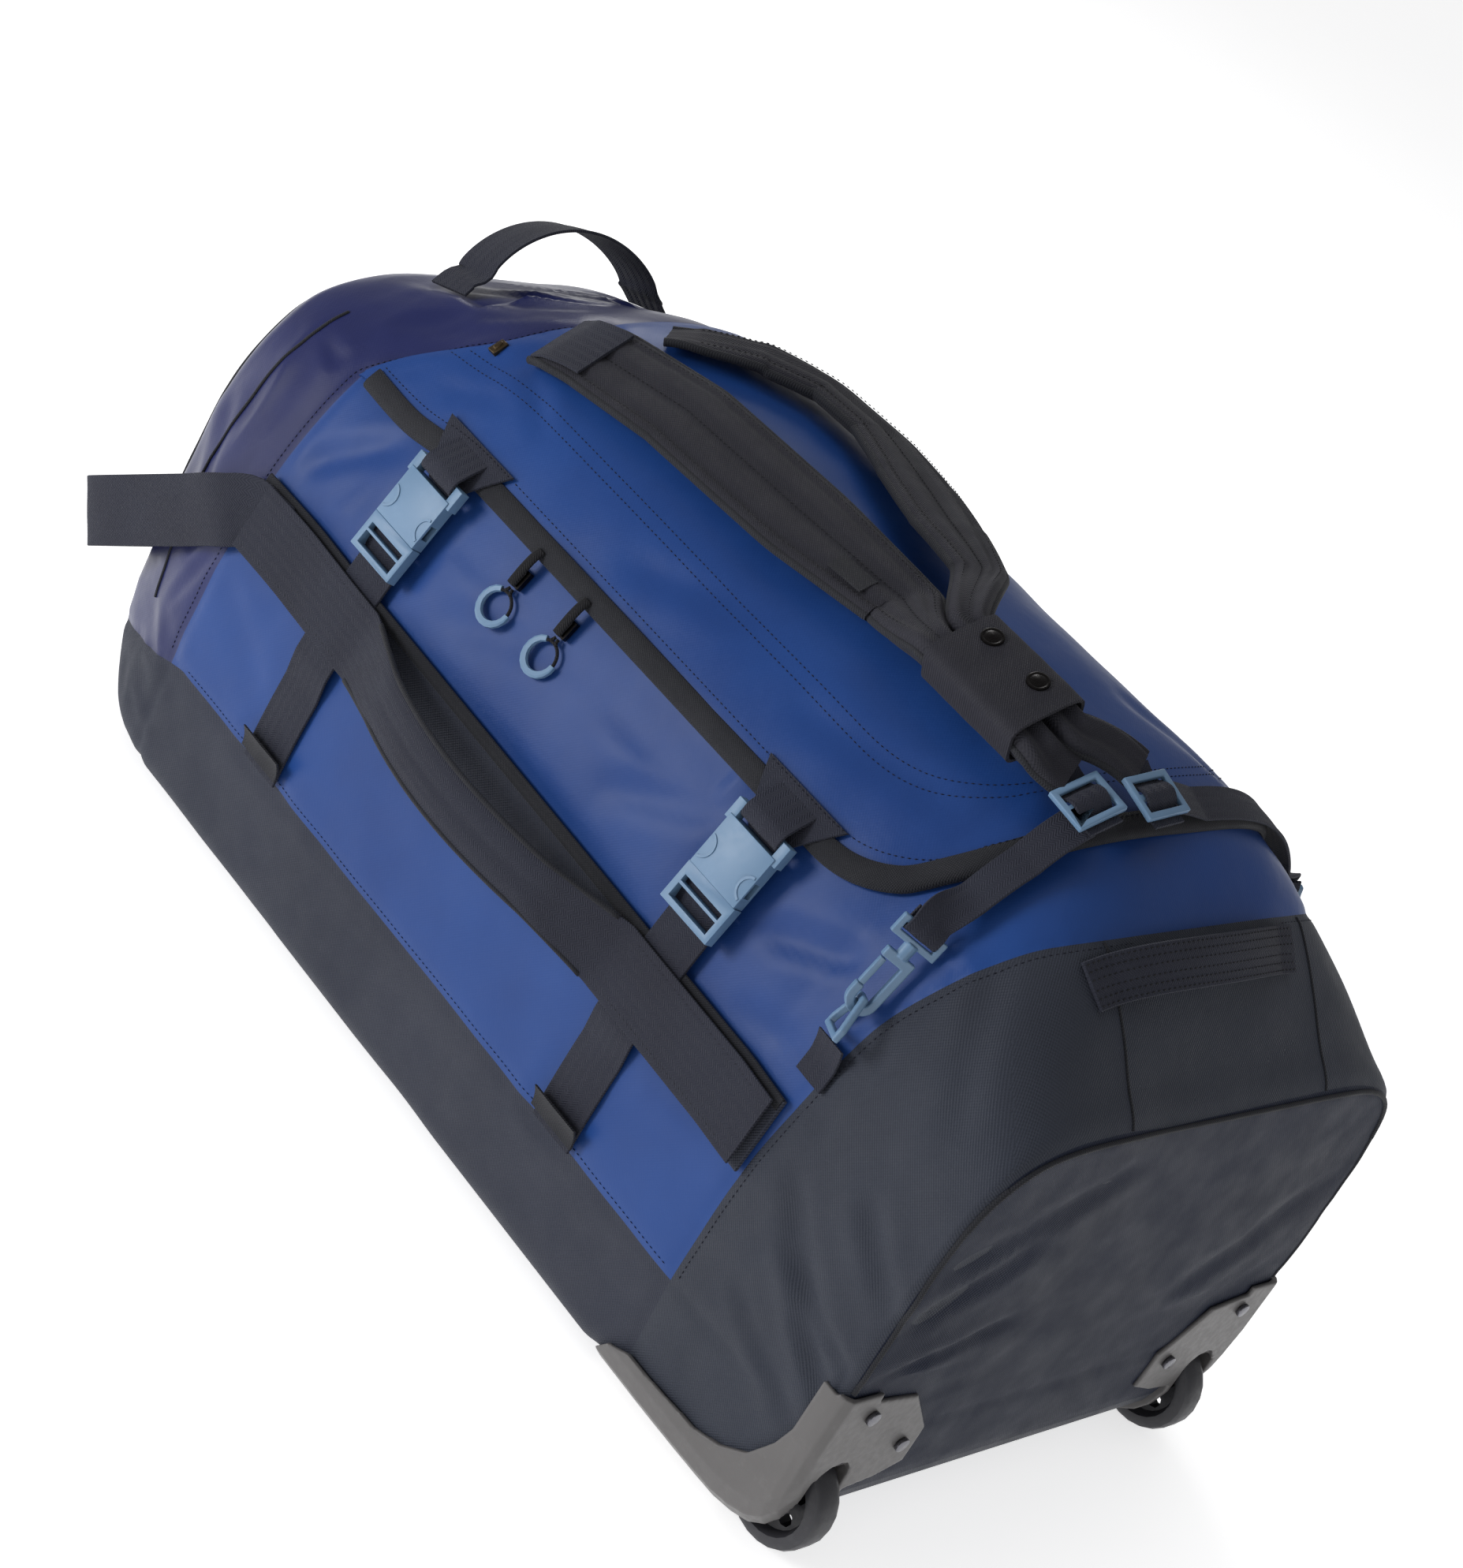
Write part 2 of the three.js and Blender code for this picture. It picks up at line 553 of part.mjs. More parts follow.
// Corner guard: a rail along the bottom edge, a plate on the end face and the house round the wheel.
const GUARD_THICK = 3.5;
const plateShape = outline([[186, -10], [230, -10], [230, 139], [171, 132], [150, 129], [119, 94], [118, 64],
  [140, 56], [186, 50]]);
const HOUSE_WALL = 5.5;
const cornerGuard = (() => {
  const layer = skin(GAP, GAP + GUARD_THICK);
  const rail = layer.intersect(railRegion(188, 260));
  const plate = layer.intersect(prismYZ(plateShape, 425, 470));
  const house = houseSolid(0).intersect(bagSolid(GAP + GUARD_THICK));
  const room = houseBar(HOUSE_INNER_Y + HOUSE_WALL, 203, WELL_RADIUS);
  const slot = bar([442, WHEEL_Y, 66], [460, WHEEL_Y, 66], 15, 12);
  const axleHole = bar([WHEEL_X, 150, WHEEL_RADIUS], [WHEEL_X, 209, WHEEL_RADIUS], 3.5, 12);
  return cut(join([rail, plate, house]), room, slot, axleHole, screwHoles(1, 2.3));
})();

const screw = (y, z) => join([
  bar([434, y, z], [448, y, z], 1.9, 8),
  bar([447.2, y, z], [450, y, z], 5.2, 12),
]);
const backingShape = outline([
  [126, 74], [158, 74], [160, 86], [198, 86], [198, 132], [172, 130], [146, 116], [126, 96],
]);
const backingPlate = cut(prismYZ(backingShape, 436, 439), screwHoles(1, 2.3));
const axle = join([bar([WHEEL_X, 158, WHEEL_RADIUS], [WHEEL_X, 208.5, WHEEL_RADIUS], 3, 12),
  bar([WHEEL_X, 158, WHEEL_RADIUS], [WHEEL_X, HOUSE_INNER_Y - GAP, WHEEL_RADIUS], 6, 6)]);

// Wheel: rounded tread, rim, and a web with five windows between the spokes.
const SPOKES = 5;
const HUB_RADIUS = 8.5;
const WINDOW_CENTRE = 16.3;
const WINDOW_RADIUS = 5.8;
const wheel = (() => {
  const edge = WHEEL_WIDTH / 2;
  const tread = 5; // rounding of the tyre's shoulders
  const profile = [[3.4, -edge], [HUB_RADIUS, -edge], [HUB_RADIUS, -5], [24, -5], [27, -edge]];
  steps(-Math.PI / 2, 0, 2).forEach((angle) => {
    profile.push([WHEEL_RADIUS - tread + tread * Math.cos(angle), -edge + tread + tread * Math.sin(angle)]);
  });
  const whole = [...profile, ...profile.map(([r, w]) => [r, -w]).reverse()];
  whole.push(whole[0]);
  const points = whole.map(([r, w]) => new THREE.Vector2(r, w));
  let solid = toSolid(new THREE.LatheGeometry(points, 24));
  for (let k = 0; k < SPOKES; k += 1) {
    const angle = ((k + 0.5) / SPOKES) * Math.PI * 2;
    const x = WINDOW_CENTRE * Math.cos(angle);
    const z = WINDOW_CENTRE * Math.sin(angle);
    solid = solid.subtract(bar([x, -20, z], [x, 20, z], WINDOW_RADIUS, 8));
  }
  return solid.translate([WHEEL_X, WHEEL_Y, WHEEL_RADIUS]);
})();

SIDES.forEach(([sideName, side]) => {
  const onSide = (solid) => (side > 0 ? solid : mirrored(solid));
  addPiece(`corner_guard_${sideName}`, onSide(cornerGuard), 'graphite');
  SCREWS.forEach(([y, z], k) => addPiece(`guard_screw_${sideName}_${k + 1}`, onSide(screw(y, z)), 'steel'));
  addPiece(`backing_plate_${sideName}`, onSide(backingPlate), 'board');
  addPiece(`axle_${sideName}`, onSide(axle), 'steel');
  addPiece(`wheel_${sideName}`, onSide(wheel), 'wheel');
});

// ---------------------------------------------------------------- straps on the lid

// Path keys: place along X, then distance across, lift of the middle, width and thickness.
const LID_LIFT = GAP + LID_THICK + GAP;
const WRAP_X = [174, 252]; // the snap-closed wrap that bundles the two straps
const WRAP_Y = -82;
const WRAP_LIFT = 33;
const BUNDLE = [118, 166, 258, 281]; // the straps come together, run side by side, and part again
const bundled = (x) => {
  const rise = THREE.MathUtils.smoothstep(x, BUNDLE[0], BUNDLE[1]);
  return rise * (1 - THREE.MathUtils.smoothstep(x, BUNDLE[2], BUNDLE[3]));
};
const lidStrap = (keys, places) => ribbon(places.map((x) => {
  const [y, lift, width, thick] = between(keys, x);
  const free = topFrame(x, y, LID_LIFT + lift);
  const held = topFrame(x, WRAP_Y, LID_LIFT + lift);
  held.p.addScaledVector(held.v, y - WRAP_Y);
  const share = bundled(x);
  return {
    p: free.p.lerp(held.p, share),
    n: free.n.lerp(held.n, share).normalize(),
    across: free.v.lerp(held.v, share).normalize(),
    width,
    thick,
  };
}));
addPiece('pack_strap_left', lidStrap([
  [-212, -100, 2, 50, 2.4], [-196, -99, 6, 56, 10], [-94, -87, 13, 66, 14], [30, -83, 15, 66, 14],
  [118, -79, 17, 50, 14], [166, -95, WRAP_LIFT, 23, 24], [258, -95, WRAP_LIFT, 23, 24],
  [281, -84, 22, 30, 6],
], [-212, -196, -150, -94, -30, 30, 75, 118, 142, 166, 200, 230, 258, 270, 281]), 'webbing');
addPiece('pack_strap_right', lidStrap([
  [-180, -43, 2, 36, 2.4], [-166, -31, 6, 36, 9], [-140, 5, 10, 48, 14], [-106, 37, 12, 56, 14],
  [-50, 41, 13, 60, 14], [5, 21, 14, 60, 14], [60, -4, 18, 54, 14], [118, -30, 26, 34, 14],
  [166, -69, WRAP_LIFT, 23, 24], [258, -69, WRAP_LIFT, 23, 24], [288, -47, 22, 30, 6],
], [
  -180, -166, -152, -140, -122, -106, -80, -50, -22, 5, 32, 60, 90, 118, 142, 166, 200, 230, 258, 273, 288,
]), 'webbing');
const wrapLayer = (width, thick, overrun) => lidStrap([
  [0, WRAP_Y, WRAP_LIFT, width, thick]], steps(WRAP_X[0] - overrun, WRAP_X[1] + overrun, 4));
addPiece('strap_wrap', cut(wrapLayer(58, 34, 0), wrapLayer(51, 27, 4)), 'webbing');

// Ladder locks that join the padded straps to the thin webbing.
const ladderLock = cut(
  block(-15, 15, -18, 18, -2, 2),
  block(-10.5, -2, -14, 14, -5, 5),
  block(2, 10.5, -14, 14, -5, 5),
);
[['left', 297, -86], ['right', 304, -47]].forEach(([sideName, x, y]) => {
  const place = frameMatrix(topFrame(x, y, LID_LIFT + 22));
  addPiece(`ladder_lock_${sideName}`, ladderLock, 'lightBlue', place);
});

// Thin webbing from each ladder lock down to its snap hook.
const HOOK_X = 304;
const thinWebbing = (keys, ys) => ribbon(ys.map((y) => {
  const frame = topFrame(HOOK_X, y, between(keys, y)[0]);
  return { p: frame.p, n: frame.n, across: frame.u, width: 25, thick: WEBBING };
}));
addPiece('strap_webbing_left', thinWebbing([[-154, 10], [-122, 10], [-106, 17]],
  [-106, -114, -122, -132, -143, -154]), 'webbing');
addPiece('strap_webbing_right', thinWebbing([[-27, 22], [8, 10], [154, 10]],
  [-27, -10, 8, 30, 60, 95, 115, 132, 144, 154]), 'webbing');

// ---------------------------------------------------------------- snap hooks on their rings

const HOOK_HEIGHT = 318; // place of the hook's frame on the slope
const HOOK_LIFT = 13.5;
const HOOK_TILT = 55 * (Math.PI / 180); // the hook stands partly on its edge
const BOW_V = -6; // middle of the hook's bow
const snapHook = join([
  cut(block(-16, 16, 35, 48, -2, 2), block(-12.6, 12.6, 38.5, 44.5, -5, 5)),
  bar([0, 26, 0], [0, 36, 0], 4.2, 12),
  block(-10, 10, 21, 27, -2.4, 2.4),
  block(5.2, 10, BOW_V, 24, -2.4, 2.4),
  cut(bar([0, BOW_V, -2.4], [0, BOW_V, 2.4], 10, 28), bar([0, BOW_V, -5], [0, BOW_V, 5], 5.2, 20),
    block(-12, 12, BOW_V, BOW_V + 12, -5, 5)),
  block(-10, -5.2, BOW_V - 0.1, 0, -2.4, 2.4),
]);
const hookGate = block(-9.6, -5.6, 0.5, 19.9, -2, 2);
const RING_ROD = 2;
const RING_BASE_V = -31;
const ringCorners = [
  [12, RING_BASE_V], [12, RING_BASE_V + 5], [4, BOW_V],
  [-4, BOW_V], [-12, RING_BASE_V + 5], [-12, RING_BASE_V],
];
// Bent rod: an outer and an inner outline of the same corners, with the rod's edges chamfered.
const rodOutline = (grow) => {
  const corners = ringCorners.map(([w, v]) => new THREE.Vector2(w, v));
  return corners.map((corner, k) => {
    const before = corners[(k + corners.length - 1) % corners.length];
    const after = corners[(k + 1) % corners.length];
    const into = corner.clone().sub(before).normalize();
    const out = after.clone().sub(corner).normalize();
    const offset = new THREE.Vector2(into.y + out.y, -into.x - out.x).normalize();
    const stretch = grow / Math.sqrt((1 + into.dot(out)) / 2);
    return corner.clone().addScaledVector(offset, stretch);
  });
};
const rodRing = (grow, thick) => {
  const place = ({ x, y }, u) => new THREE.Vector3(u, y, x);
  return [rodOutline(grow).map((at) => place(at, thick)), rodOutline(grow).map((at) => place(at, -thick))];
};
const rodLayer = (grow, thick) => loft(rodRing(grow, thick));
const ringSolid = cut(join([rodLayer(RING_ROD, 0.8 * RING_ROD), rodLayer(0.6 * RING_ROD, RING_ROD)]),
  rodLayer(-0.8 * RING_ROD, 2 * RING_ROD));
SIDES.forEach(([sideName, side]) => {
  const frame = sideFrame(HOOK_X, HOOK_HEIGHT, HOOK_LIFT, side);
  const place = frameMatrix(frame).multiply(new THREE.Matrix4().makeRotationY(HOOK_TILT));
  addPiece(`snap_hook_${sideName}`, snapHook, 'lightBlue', place);
  addPiece(`hook_gate_${sideName}`, hookGate, 'lightBlue', place);
  addPiece(`strap_ring_${sideName}`, ringSolid, 'lightBlue', place);
  const tabPath = [[258, 1.5], [270, 1.8], [278, 5], [284, 9]];
  addPiece(`ring_tab_${sideName}`, ribbon(tabPath.map(([z, lift]) => {
    const at = sideFrame(HOOK_X, z, lift, side);
    return { p: at.p, n: at.n, across: at.u, width: 24, thick: WEBBING };
  })), 'webbing');
});

// ---------------------------------------------------------------- zip sliders and pulls

const ZIP_HEIGHT = 325; // the main zip's sliders run along the side here
const ZIP_LIFT = 3;
const sliderBody = join([block(-5, 5, -7, 7, -2.2, 2.2), block(-2, 2, -4, 5, 2, 4)]);
const pullLoop = join([
  block(-2.6, 2.6, -12, -8.4, -1.3, 1.3),
  cut(bar([0, -24, -1.8], [0, -24, 1.8], 14, 24), bar([0, -24, -5], [0, -24, 5], 10, 20)),
]);
[['far', -83], ['near', -31]].forEach(([label, x]) => {
  const place = frameMatrix(sideFrame(x, ZIP_HEIGHT, ZIP_LIFT));
  addPiece(`zip_slider_${label}`, sliderBody, 'wheel', place);
  addPiece(`zip_pull_${label}`, pullLoop, 'lightBlue', place);
});
const POCKET_ZIP = [-238, -120]; // on the arched seam between the cap and the lid
const pocketPlace = frameMatrix(topFrame(POCKET_ZIP[0], POCKET_ZIP[1], LID_LIFT + 1));
const pocketSlider = join([block(-4, 4, -6, 6, -2.2, 2.2), block(-1.5, 1.5, -3, 4, 2, 3.6)]);
addPiece('zip_slider_pocket', pocketSlider, 'wheel', pocketPlace);

export default bag;
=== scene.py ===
"""Looks of the rolling duffel bag: cloth, webbing, padded straps, mouldings, stitching, light, camera.

Lengths in the shape code are millimetres in the CAD frame; meshes are stored in metres.
"""

import math

import bmesh
import bpy
import numpy as np
from mathutils import Matrix, Vector, noise
from mathutils.bvhtree import BVHTree


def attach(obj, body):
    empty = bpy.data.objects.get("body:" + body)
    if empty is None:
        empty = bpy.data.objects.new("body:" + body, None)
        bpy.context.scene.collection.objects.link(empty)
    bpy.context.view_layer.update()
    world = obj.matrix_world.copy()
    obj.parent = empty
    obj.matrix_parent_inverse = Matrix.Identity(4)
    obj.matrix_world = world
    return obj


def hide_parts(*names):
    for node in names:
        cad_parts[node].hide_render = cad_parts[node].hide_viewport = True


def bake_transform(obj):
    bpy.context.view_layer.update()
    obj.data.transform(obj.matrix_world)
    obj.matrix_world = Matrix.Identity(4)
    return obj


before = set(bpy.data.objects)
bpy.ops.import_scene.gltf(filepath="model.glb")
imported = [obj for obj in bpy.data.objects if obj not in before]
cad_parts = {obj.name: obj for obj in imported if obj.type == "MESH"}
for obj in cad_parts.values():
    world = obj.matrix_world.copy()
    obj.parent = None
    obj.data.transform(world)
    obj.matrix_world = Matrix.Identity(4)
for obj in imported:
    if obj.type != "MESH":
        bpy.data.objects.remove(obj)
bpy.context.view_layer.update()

MM = 0.001
SIDES = (("left", -1), ("right", 1))

# ------------------------------------------------------------------ driving dimensions, as in the CAD part

GAP = 0.3
WEBBING = 2.2
SEAM_HEIGHT = 94.0
LID_HALF, LID_NEAR, LID_FAR, HINGE_X, ZIP_INSET = 168.0, 314.0, -300.0, -234.0, 26.0
LID_THICK = 4.0
LID_LIFT = GAP + LID_THICK + GAP
STRAP_X = 177.0
BAND_THICK = 3.0
STRAP_WIDE = 38.0
HANDLE_LIFT = BAND_THICK + 1.5 * WEBBING + 2.4
HANDLE_ARCH, HANDLE_REACH = 38.0, 150.0
WHEEL_RADIUS, WHEEL_X = 36.0, 425.0
HOUSE_RADIUS, HOUSE_INNER_Y, HOUSE_OUTER_Y = 44.0, 166.0, 205.0
HAUL_X, HAUL_HALF, HAUL_RISE = -328.0, 80.0, 46.0
TOW_X, TOW_Z, TOW_LEG, TOW_REACH, TOW_CORNER = -300.0, 222.0, 223.0, 179.7, 20.0
TOW_DROOP = math.radians(36)
LIFT_X, LIFT_Y, LIFT_HALF = 378.0, -22.0, 98.0
WRAP_X, WRAP_Y, WRAP_LIFT = (174.0, 252.0), -82.0, 33.0
BUNDLE = (118.0, 166.0, 258.0, 281.0)
HOOK_X, HOOK_HEIGHT, HOOK_LIFT = 304.0, 318.0, 13.5
ZIP_HEIGHT, ZIP_LIFT = 325.0, 3.0

# Cross-sections along the bag: place along X, half width, underside, crown, squareness.
STATIONS = np.array([
    (-402, 182, 66, 350, 4.4), (-397, 190, 50, 361, 4.4), (-384, 197, 34, 371, 4.2),
    (-355, 208, 14, 384, 3.7), (-325, 216, 3, 397, 3.2), (-285, 220, 0, 414, 2.7),
    (-225, 220, 0, 441, 2.4), (-165, 220, 0, 452, 2.4),
    (0, 220, 0, 452, 2.4), (240, 220, 0, 452, 2.4), (262, 220, 0, 451, 2.4), (280, 220, 4, 448, 2.5),
    (320, 220, 4, 436, 2.8), (360, 219, 4, 409, 3.4), (398, 218, 5, 372, 4.6), (422, 217, 12, 346, 6.0),
    (437, 217, 28, 332, 7.0), (443, 212, 50, 323, 7.5),
], float)
FAR_X, END_X = -402.0, 443.0


def hermite(xs, ys, slopes):
    """Cubic through values with a given slope at each of them."""
    def value(x):
        i = np.clip(np.searchsorted(xs, x) - 1, 0, len(xs) - 2)
        span = xs[i + 1] - xs[i]
        t = (x - xs[i]) / span
        return ((2 * t ** 3 - 3 * t ** 2 + 1) * ys[i] + (t ** 3 - 2 * t ** 2 + t) * span * slopes[i]
                + (3 * t ** 2 - 2 * t ** 3) * ys[i + 1] + (t ** 3 - t ** 2) * span * slopes[i + 1])

    return value


def monotone(xs, ys):
    """Smooth interpolation that keeps flat stretches flat, as in the CAD part."""
    slopes = np.diff(ys) / np.diff(xs)
    tangents = np.empty(len(xs))
    tangents[0], tangents[-1] = slopes[0], slopes[-1]
    for k in range(1, len(xs) - 1):
        before, after = slopes[k - 1], slopes[k]
        tangents[k] = 0 if before * after <= 0 else 2 * before * after / (before + after)

    curve = hermite(xs, ys, tangents)
    return lambda x: curve(np.clip(x, xs[0], xs[-1]))


half_at, under_at, crown_at, square_at = (monotone(STATIONS[:, 0], STATIONS[:, k]) for k in range(1, 5))


def side_at(x, z):
    """Half width of the bag at x and height z."""
    square = square_at(x)
    rise = np.clip((z - SEAM_HEIGHT) / (crown_at(x) - SEAM_HEIGHT), 0, 1)
    return half_at(x) * (1 - rise ** (square * 0.85)) ** (1 / square)


def top_at(x, y):
    """Height of the arched top at x and y."""
    square = square_at(x)
    across = np.minimum(1, np.abs(y) / half_at(x))
    return SEAM_HEIGHT + (crown_at(x) - SEAM_HEIGHT) * (1 - across ** square) ** (1 / (square * 0.85))


def unit(v):
    """Vector of length one."""
    v = np.asarray(v, float)
    return v / np.linalg.norm(v)


def side_frame(x, z, lift=0.0, side=-1):
    """Frame on a long side: u along the bag, v up the slope, n outwards."""
    along_x = side_at(x + 0.5, z) - side_at(x - 0.5, z)
    along_z = side_at(x, z + 0.5) - side_at(x, z - 0.5)
    n = unit([-along_x, side, -along_z])
    v = unit(np.cross(n, [-side, 0, 0]))
    return {"p": np.array([x, side * side_at(x, z), z]) + lift * n, "n": n, "v": v, "u": np.cross(v, n)}


def top_frame(x, y, lift=0.0):
    """Frame on the arched top: u along the bag, v across it, n outwards."""
    along_x = top_at(x + 0.5, y) - top_at(x - 0.5, y)
    along_y = top_at(x, y + 0.5) - top_at(x, y - 0.5)
    n = unit([-along_x, -along_y, 1])
    v = unit([0, 1, along_y])
    return {"p": np.array([x, y, top_at(x, y)]) + lift * n, "n": n, "v": v, "u": np.cross(v, n)}


def key(f, across="u", **more):
    """Sweep frame from a surface frame, with the named axis across the strip."""
    return {"p": f["p"], "n": f["n"], "across": f[across], **more}


def turns(count):
    """Angles evenly round a full turn."""
    return np.linspace(0, 2 * math.pi, count, endpoint=False)


def round_section(radius, count, deep=None):
    """Round or oval section as (across, out) points."""
    return [(radius * math.cos(t), (deep or radius) * math.sin(t)) for t in turns(count)]


def signed_power(value, exponent):
    """Power that keeps the sign."""
    return math.copysign(abs(value) ** exponent, value)


def between(keys, place):
    """Values at a place from rows of (place, values...)."""
    keys = np.array(keys, float)
    return np.array([np.interp(place, keys[:, 0], keys[:, k]) for k in range(1, keys.shape[1])])


# ------------------------------------------------------------------ materials


class Nodes:
    """Small helper that builds a node material."""

    def __init__(self, name, **constants):
        self.material = bpy.data.materials.new(name)
        self.material.use_nodes = True
        self.tree = self.material.node_tree
        self.shader = self.tree.nodes["Principled BSDF"]
        for key, value in constants.items():
            self.shader.inputs[key.replace("_", " ")].default_value = value
        self.coordinates = self.tree.nodes.new("ShaderNodeTexCoord")

    def add(self, kind, inputs=None, **settings):
        node = self.tree.nodes.new(kind)
        for key, value in settings.items():
            setattr(node, key, value)
        for key, value in (inputs or {}).items():
            if isinstance(value, bpy.types.NodeSocket):
                self.tree.links.new(value, node.inputs[key])
            else:
                node.inputs[key].default_value = value
        return node

    def link(self, socket, key):
        self.tree.links.new(socket, self.shader.inputs[key])

    def noise(self, scale, detail=3.0, rough=0.55, distortion=0.0):
        return self.add("ShaderNodeTexNoise", {
            "Vector": self.coordinates.outputs["Object"], "Scale": scale, "Detail": detail,
            "Roughness": rough, "Distortion": distortion}).outputs["Fac"]

    def spread(self, fac, low, high, from_low=0.3, from_high=0.7):
        return self.add("ShaderNodeMapRange", {
            "Value": fac, "From Min": from_low, "From Max": from_high,
            "To Min": low, "To Max": high}).outputs[0]

    def mix(self, fac, first, second):
        node = self.add("ShaderNodeMix", data_type="RGBA")
        for index, value in ((0, fac), (6, first), (7, second)):
            if isinstance(value, bpy.types.NodeSocket):
                self.tree.links.new(value, node.inputs[index])
            else:
                node.inputs[index].default_value = value
        return node.outputs[2]

    def math(self, operation, first, second=0.0):
        node = self.add("ShaderNodeMath", operation=operation)
        for index, value in enumerate((first, second)):
            if isinstance(value, bpy.types.NodeSocket):
                self.tree.links.new(value, node.inputs[index])
            else:
                node.inputs[index].default_value = value
        return node.outputs[0]

    def bump(self, *layers):
        """Layers of (height socket, distance in metres, strength)."""
        normal = None
        for height, distance, strength in layers:
            inputs = {"Height": height, "Distance": distance, "Strength": strength}
            if normal is not None:
                inputs["Normal"] = normal
            normal = self.add("ShaderNodeBump", inputs).outputs["Normal"]
        self.link(normal, "Normal")


def colour(r, g, b):
    """Linear colour of a display colour given from 0 to 255."""
    return tuple(((c / 255 + 0.055) / 1.055) ** 2.4 for c in (r, g, b)) + (1.0,)


def shade(base, factor, lift=0.0):
    """Lighter or darker version of a colour."""
    return tuple(min(1, c * factor + lift) for c in base[:3]) + (1.0,)


def weave_height(build, pitch, uneven=0.25):
    """Plain weave over the UV map, which is laid out in metres."""
    uv = build.add("ShaderNodeUVMap", uv_map="weave").outputs["UV"]
    split = build.add("ShaderNodeSeparateXYZ", {"Vector": uv})
    across = build.math("SINE", build.math("MULTIPLY", split.outputs[0], math.pi / pitch))
    along = build.math("SINE", build.math("MULTIPLY", split.outputs[1], math.pi / pitch))
    threads = build.math("MULTIPLY", across, along)
    return build.math("ADD", threads, build.math("MULTIPLY", build.noise(900.0, 2.0), uneven))


def coated_fabric(name, base, deep, rough=(0.36, 0.5), pitch=0.0011, weave=0.12, grime=0.1):
    """Laminated fabric: a satin film over a fine weave, with scuffs and soft colour drift."""
    build = Nodes(name, Specular_IOR_Level=0.24, Coat_Weight=0.09, Coat_Roughness=0.3)
    broad = build.spread(build.noise(5.0, 4.0, 0.6), 0.0, 1.0)
    fine = build.spread(build.noise(60.0, 5.0, 0.65), 0.0, 1.0)
    body = build.mix(broad, deep, base)
    specks = build.spread(build.noise(140.0, 8.0, 0.7, distortion=1.2), 0, 1, 0.62, 0.82)
    scuff = build.math("MULTIPLY", specks, grime)
    build.link(build.mix(scuff, body, shade(base, 1.9, 0.03)), "Base Color")
    blotches = build.math("ADD", build.math("MULTIPLY", broad, 0.5), build.math("MULTIPLY", fine, 0.5))
    build.link(build.spread(blotches, rough[0], rough[1], 0.0, 1.0), "Roughness")
    build.bump((build.noise(26.0, 5.0, 0.6), 0.0035, 0.18), (weave_height(build, pitch), 0.00018, weave))
    return build.material


def woven_fabric(name, base, deep, pitch=0.0011, rough=0.66, sheen=0.05, weave=0.6):
    """Dense uncoated fabric with visible yarns."""
    build = Nodes(name, Specular_IOR_Level=0.2, Sheen_Weight=sheen, Sheen_Roughness=0.5)
    threads = weave_height(build, pitch)
    broad = build.spread(build.noise(7.0, 4.0), 0.0, 1.0)
    yarn = build.spread(threads, 0.0, 1.0, -1.0, 1.0)
    body = build.mix(broad, deep, base)
    build.link(build.mix(build.math("MULTIPLY", yarn, 0.22), body, shade(base, 1.5)), "Base Color")
    build.link(build.spread(build.noise(40.0, 4.0), rough - 0.08, rough + 0.1), "Roughness")
    build.bump((build.noise(30.0, 5.0, 0.6), 0.003, 0.2), (threads, 0.0003, weave))
    return build.material


def webbing_material(name, base, deep):
    """Webbing: a herringbone of yarns across, with two firmer edge ribs."""
    build = Nodes(name, Specular_IOR_Level=0.18, Sheen_Weight=0.06, Sheen_Roughness=0.4)
    uv = build.add("ShaderNodeUVMap", uv_map="weave").outputs["UV"]
    split = build.add("ShaderNodeSeparateXYZ", {"Vector": uv})
    zigzag = build.math("PINGPONG", split.outputs[0], 0.0035)
    slanted = build.math("ADD", split.outputs[1], build.math("MULTIPLY", zigzag, 0.9))
    ribs = build.math("SINE", build.math("MULTIPLY", slanted, 2 * math.pi / 0.0019))
    columns = build.math("SINE", build.math("MULTIPLY", split.outputs[0], 2 * math.pi / 0.0035))
    height = build.math("ADD", ribs, build.math("MULTIPLY", columns, 0.12))
    tone = build.spread(height, 0.0, 1.0, -1.4, 1.4)
    fuzz = build.noise(700.0, 3.0)
    body = build.mix(build.spread(build.noise(14.0, 4.0), 0.0, 1.0), deep, base)
    build.link(build.mix(build.math("MULTIPLY", tone, 0.22), body, shade(base, 1.7)), "Base Color")
    build.link(build.spread(fuzz, 0.62, 0.85), "Roughness")
    build.bump((fuzz, 0.0003, 0.25), (height, 0.0003, 0.6))
    return build.material


def moulding_material(name, base, rough, grain, wear):
    """Moulded plastic: fine spark texture, faint flow marks and rubbed spots."""
    build = Nodes(name, Specular_IOR_Level=0.5)
    rubbed = build.spread(build.noise(90.0, 6.0, 0.7), 0.0, 1.0, 0.55, 0.8)
    rubbed = build.math("MULTIPLY", rubbed, wear)
    drift = build.spread(build.noise(12.0, 3.0), 0.0, 1.0)
    body = build.mix(drift, shade(base, 0.88), base)
    build.link(build.mix(rubbed, body, shade(base, 1.4, 0.05)), "Base Color")
    build.link(build.spread(build.noise(220.0, 3.0), rough - 0.07, rough + 0.07), "Roughness")
    build.bump((build.noise(1500.0, 2.0), 0.0002, grain), (build.noise(20.0, 2.0), 0.001, 0.08))
    return build.material


def metal_material(name, base, rough):
    build = Nodes(name, Metallic=1.0)
    streaks = build.add("ShaderNodeTexNoise", {
        "Vector": build.add("ShaderNodeMapping", {
            "Vector": build.coordinates.outputs["Object"], "Scale": (400.0, 60.0, 60.0)}).outputs[0],
        "Scale": 5.0, "Detail": 4.0}).outputs["Fac"]
    build.link(build.mix(build.spread(streaks, 0.0, 1.0), shade(base, 0.8), base), "Base Color")
    build.link(build.spread(streaks, rough - 0.08, rough + 0.1), "Roughness")
    build.bump((streaks, 0.0002, 0.2))
    return build.material


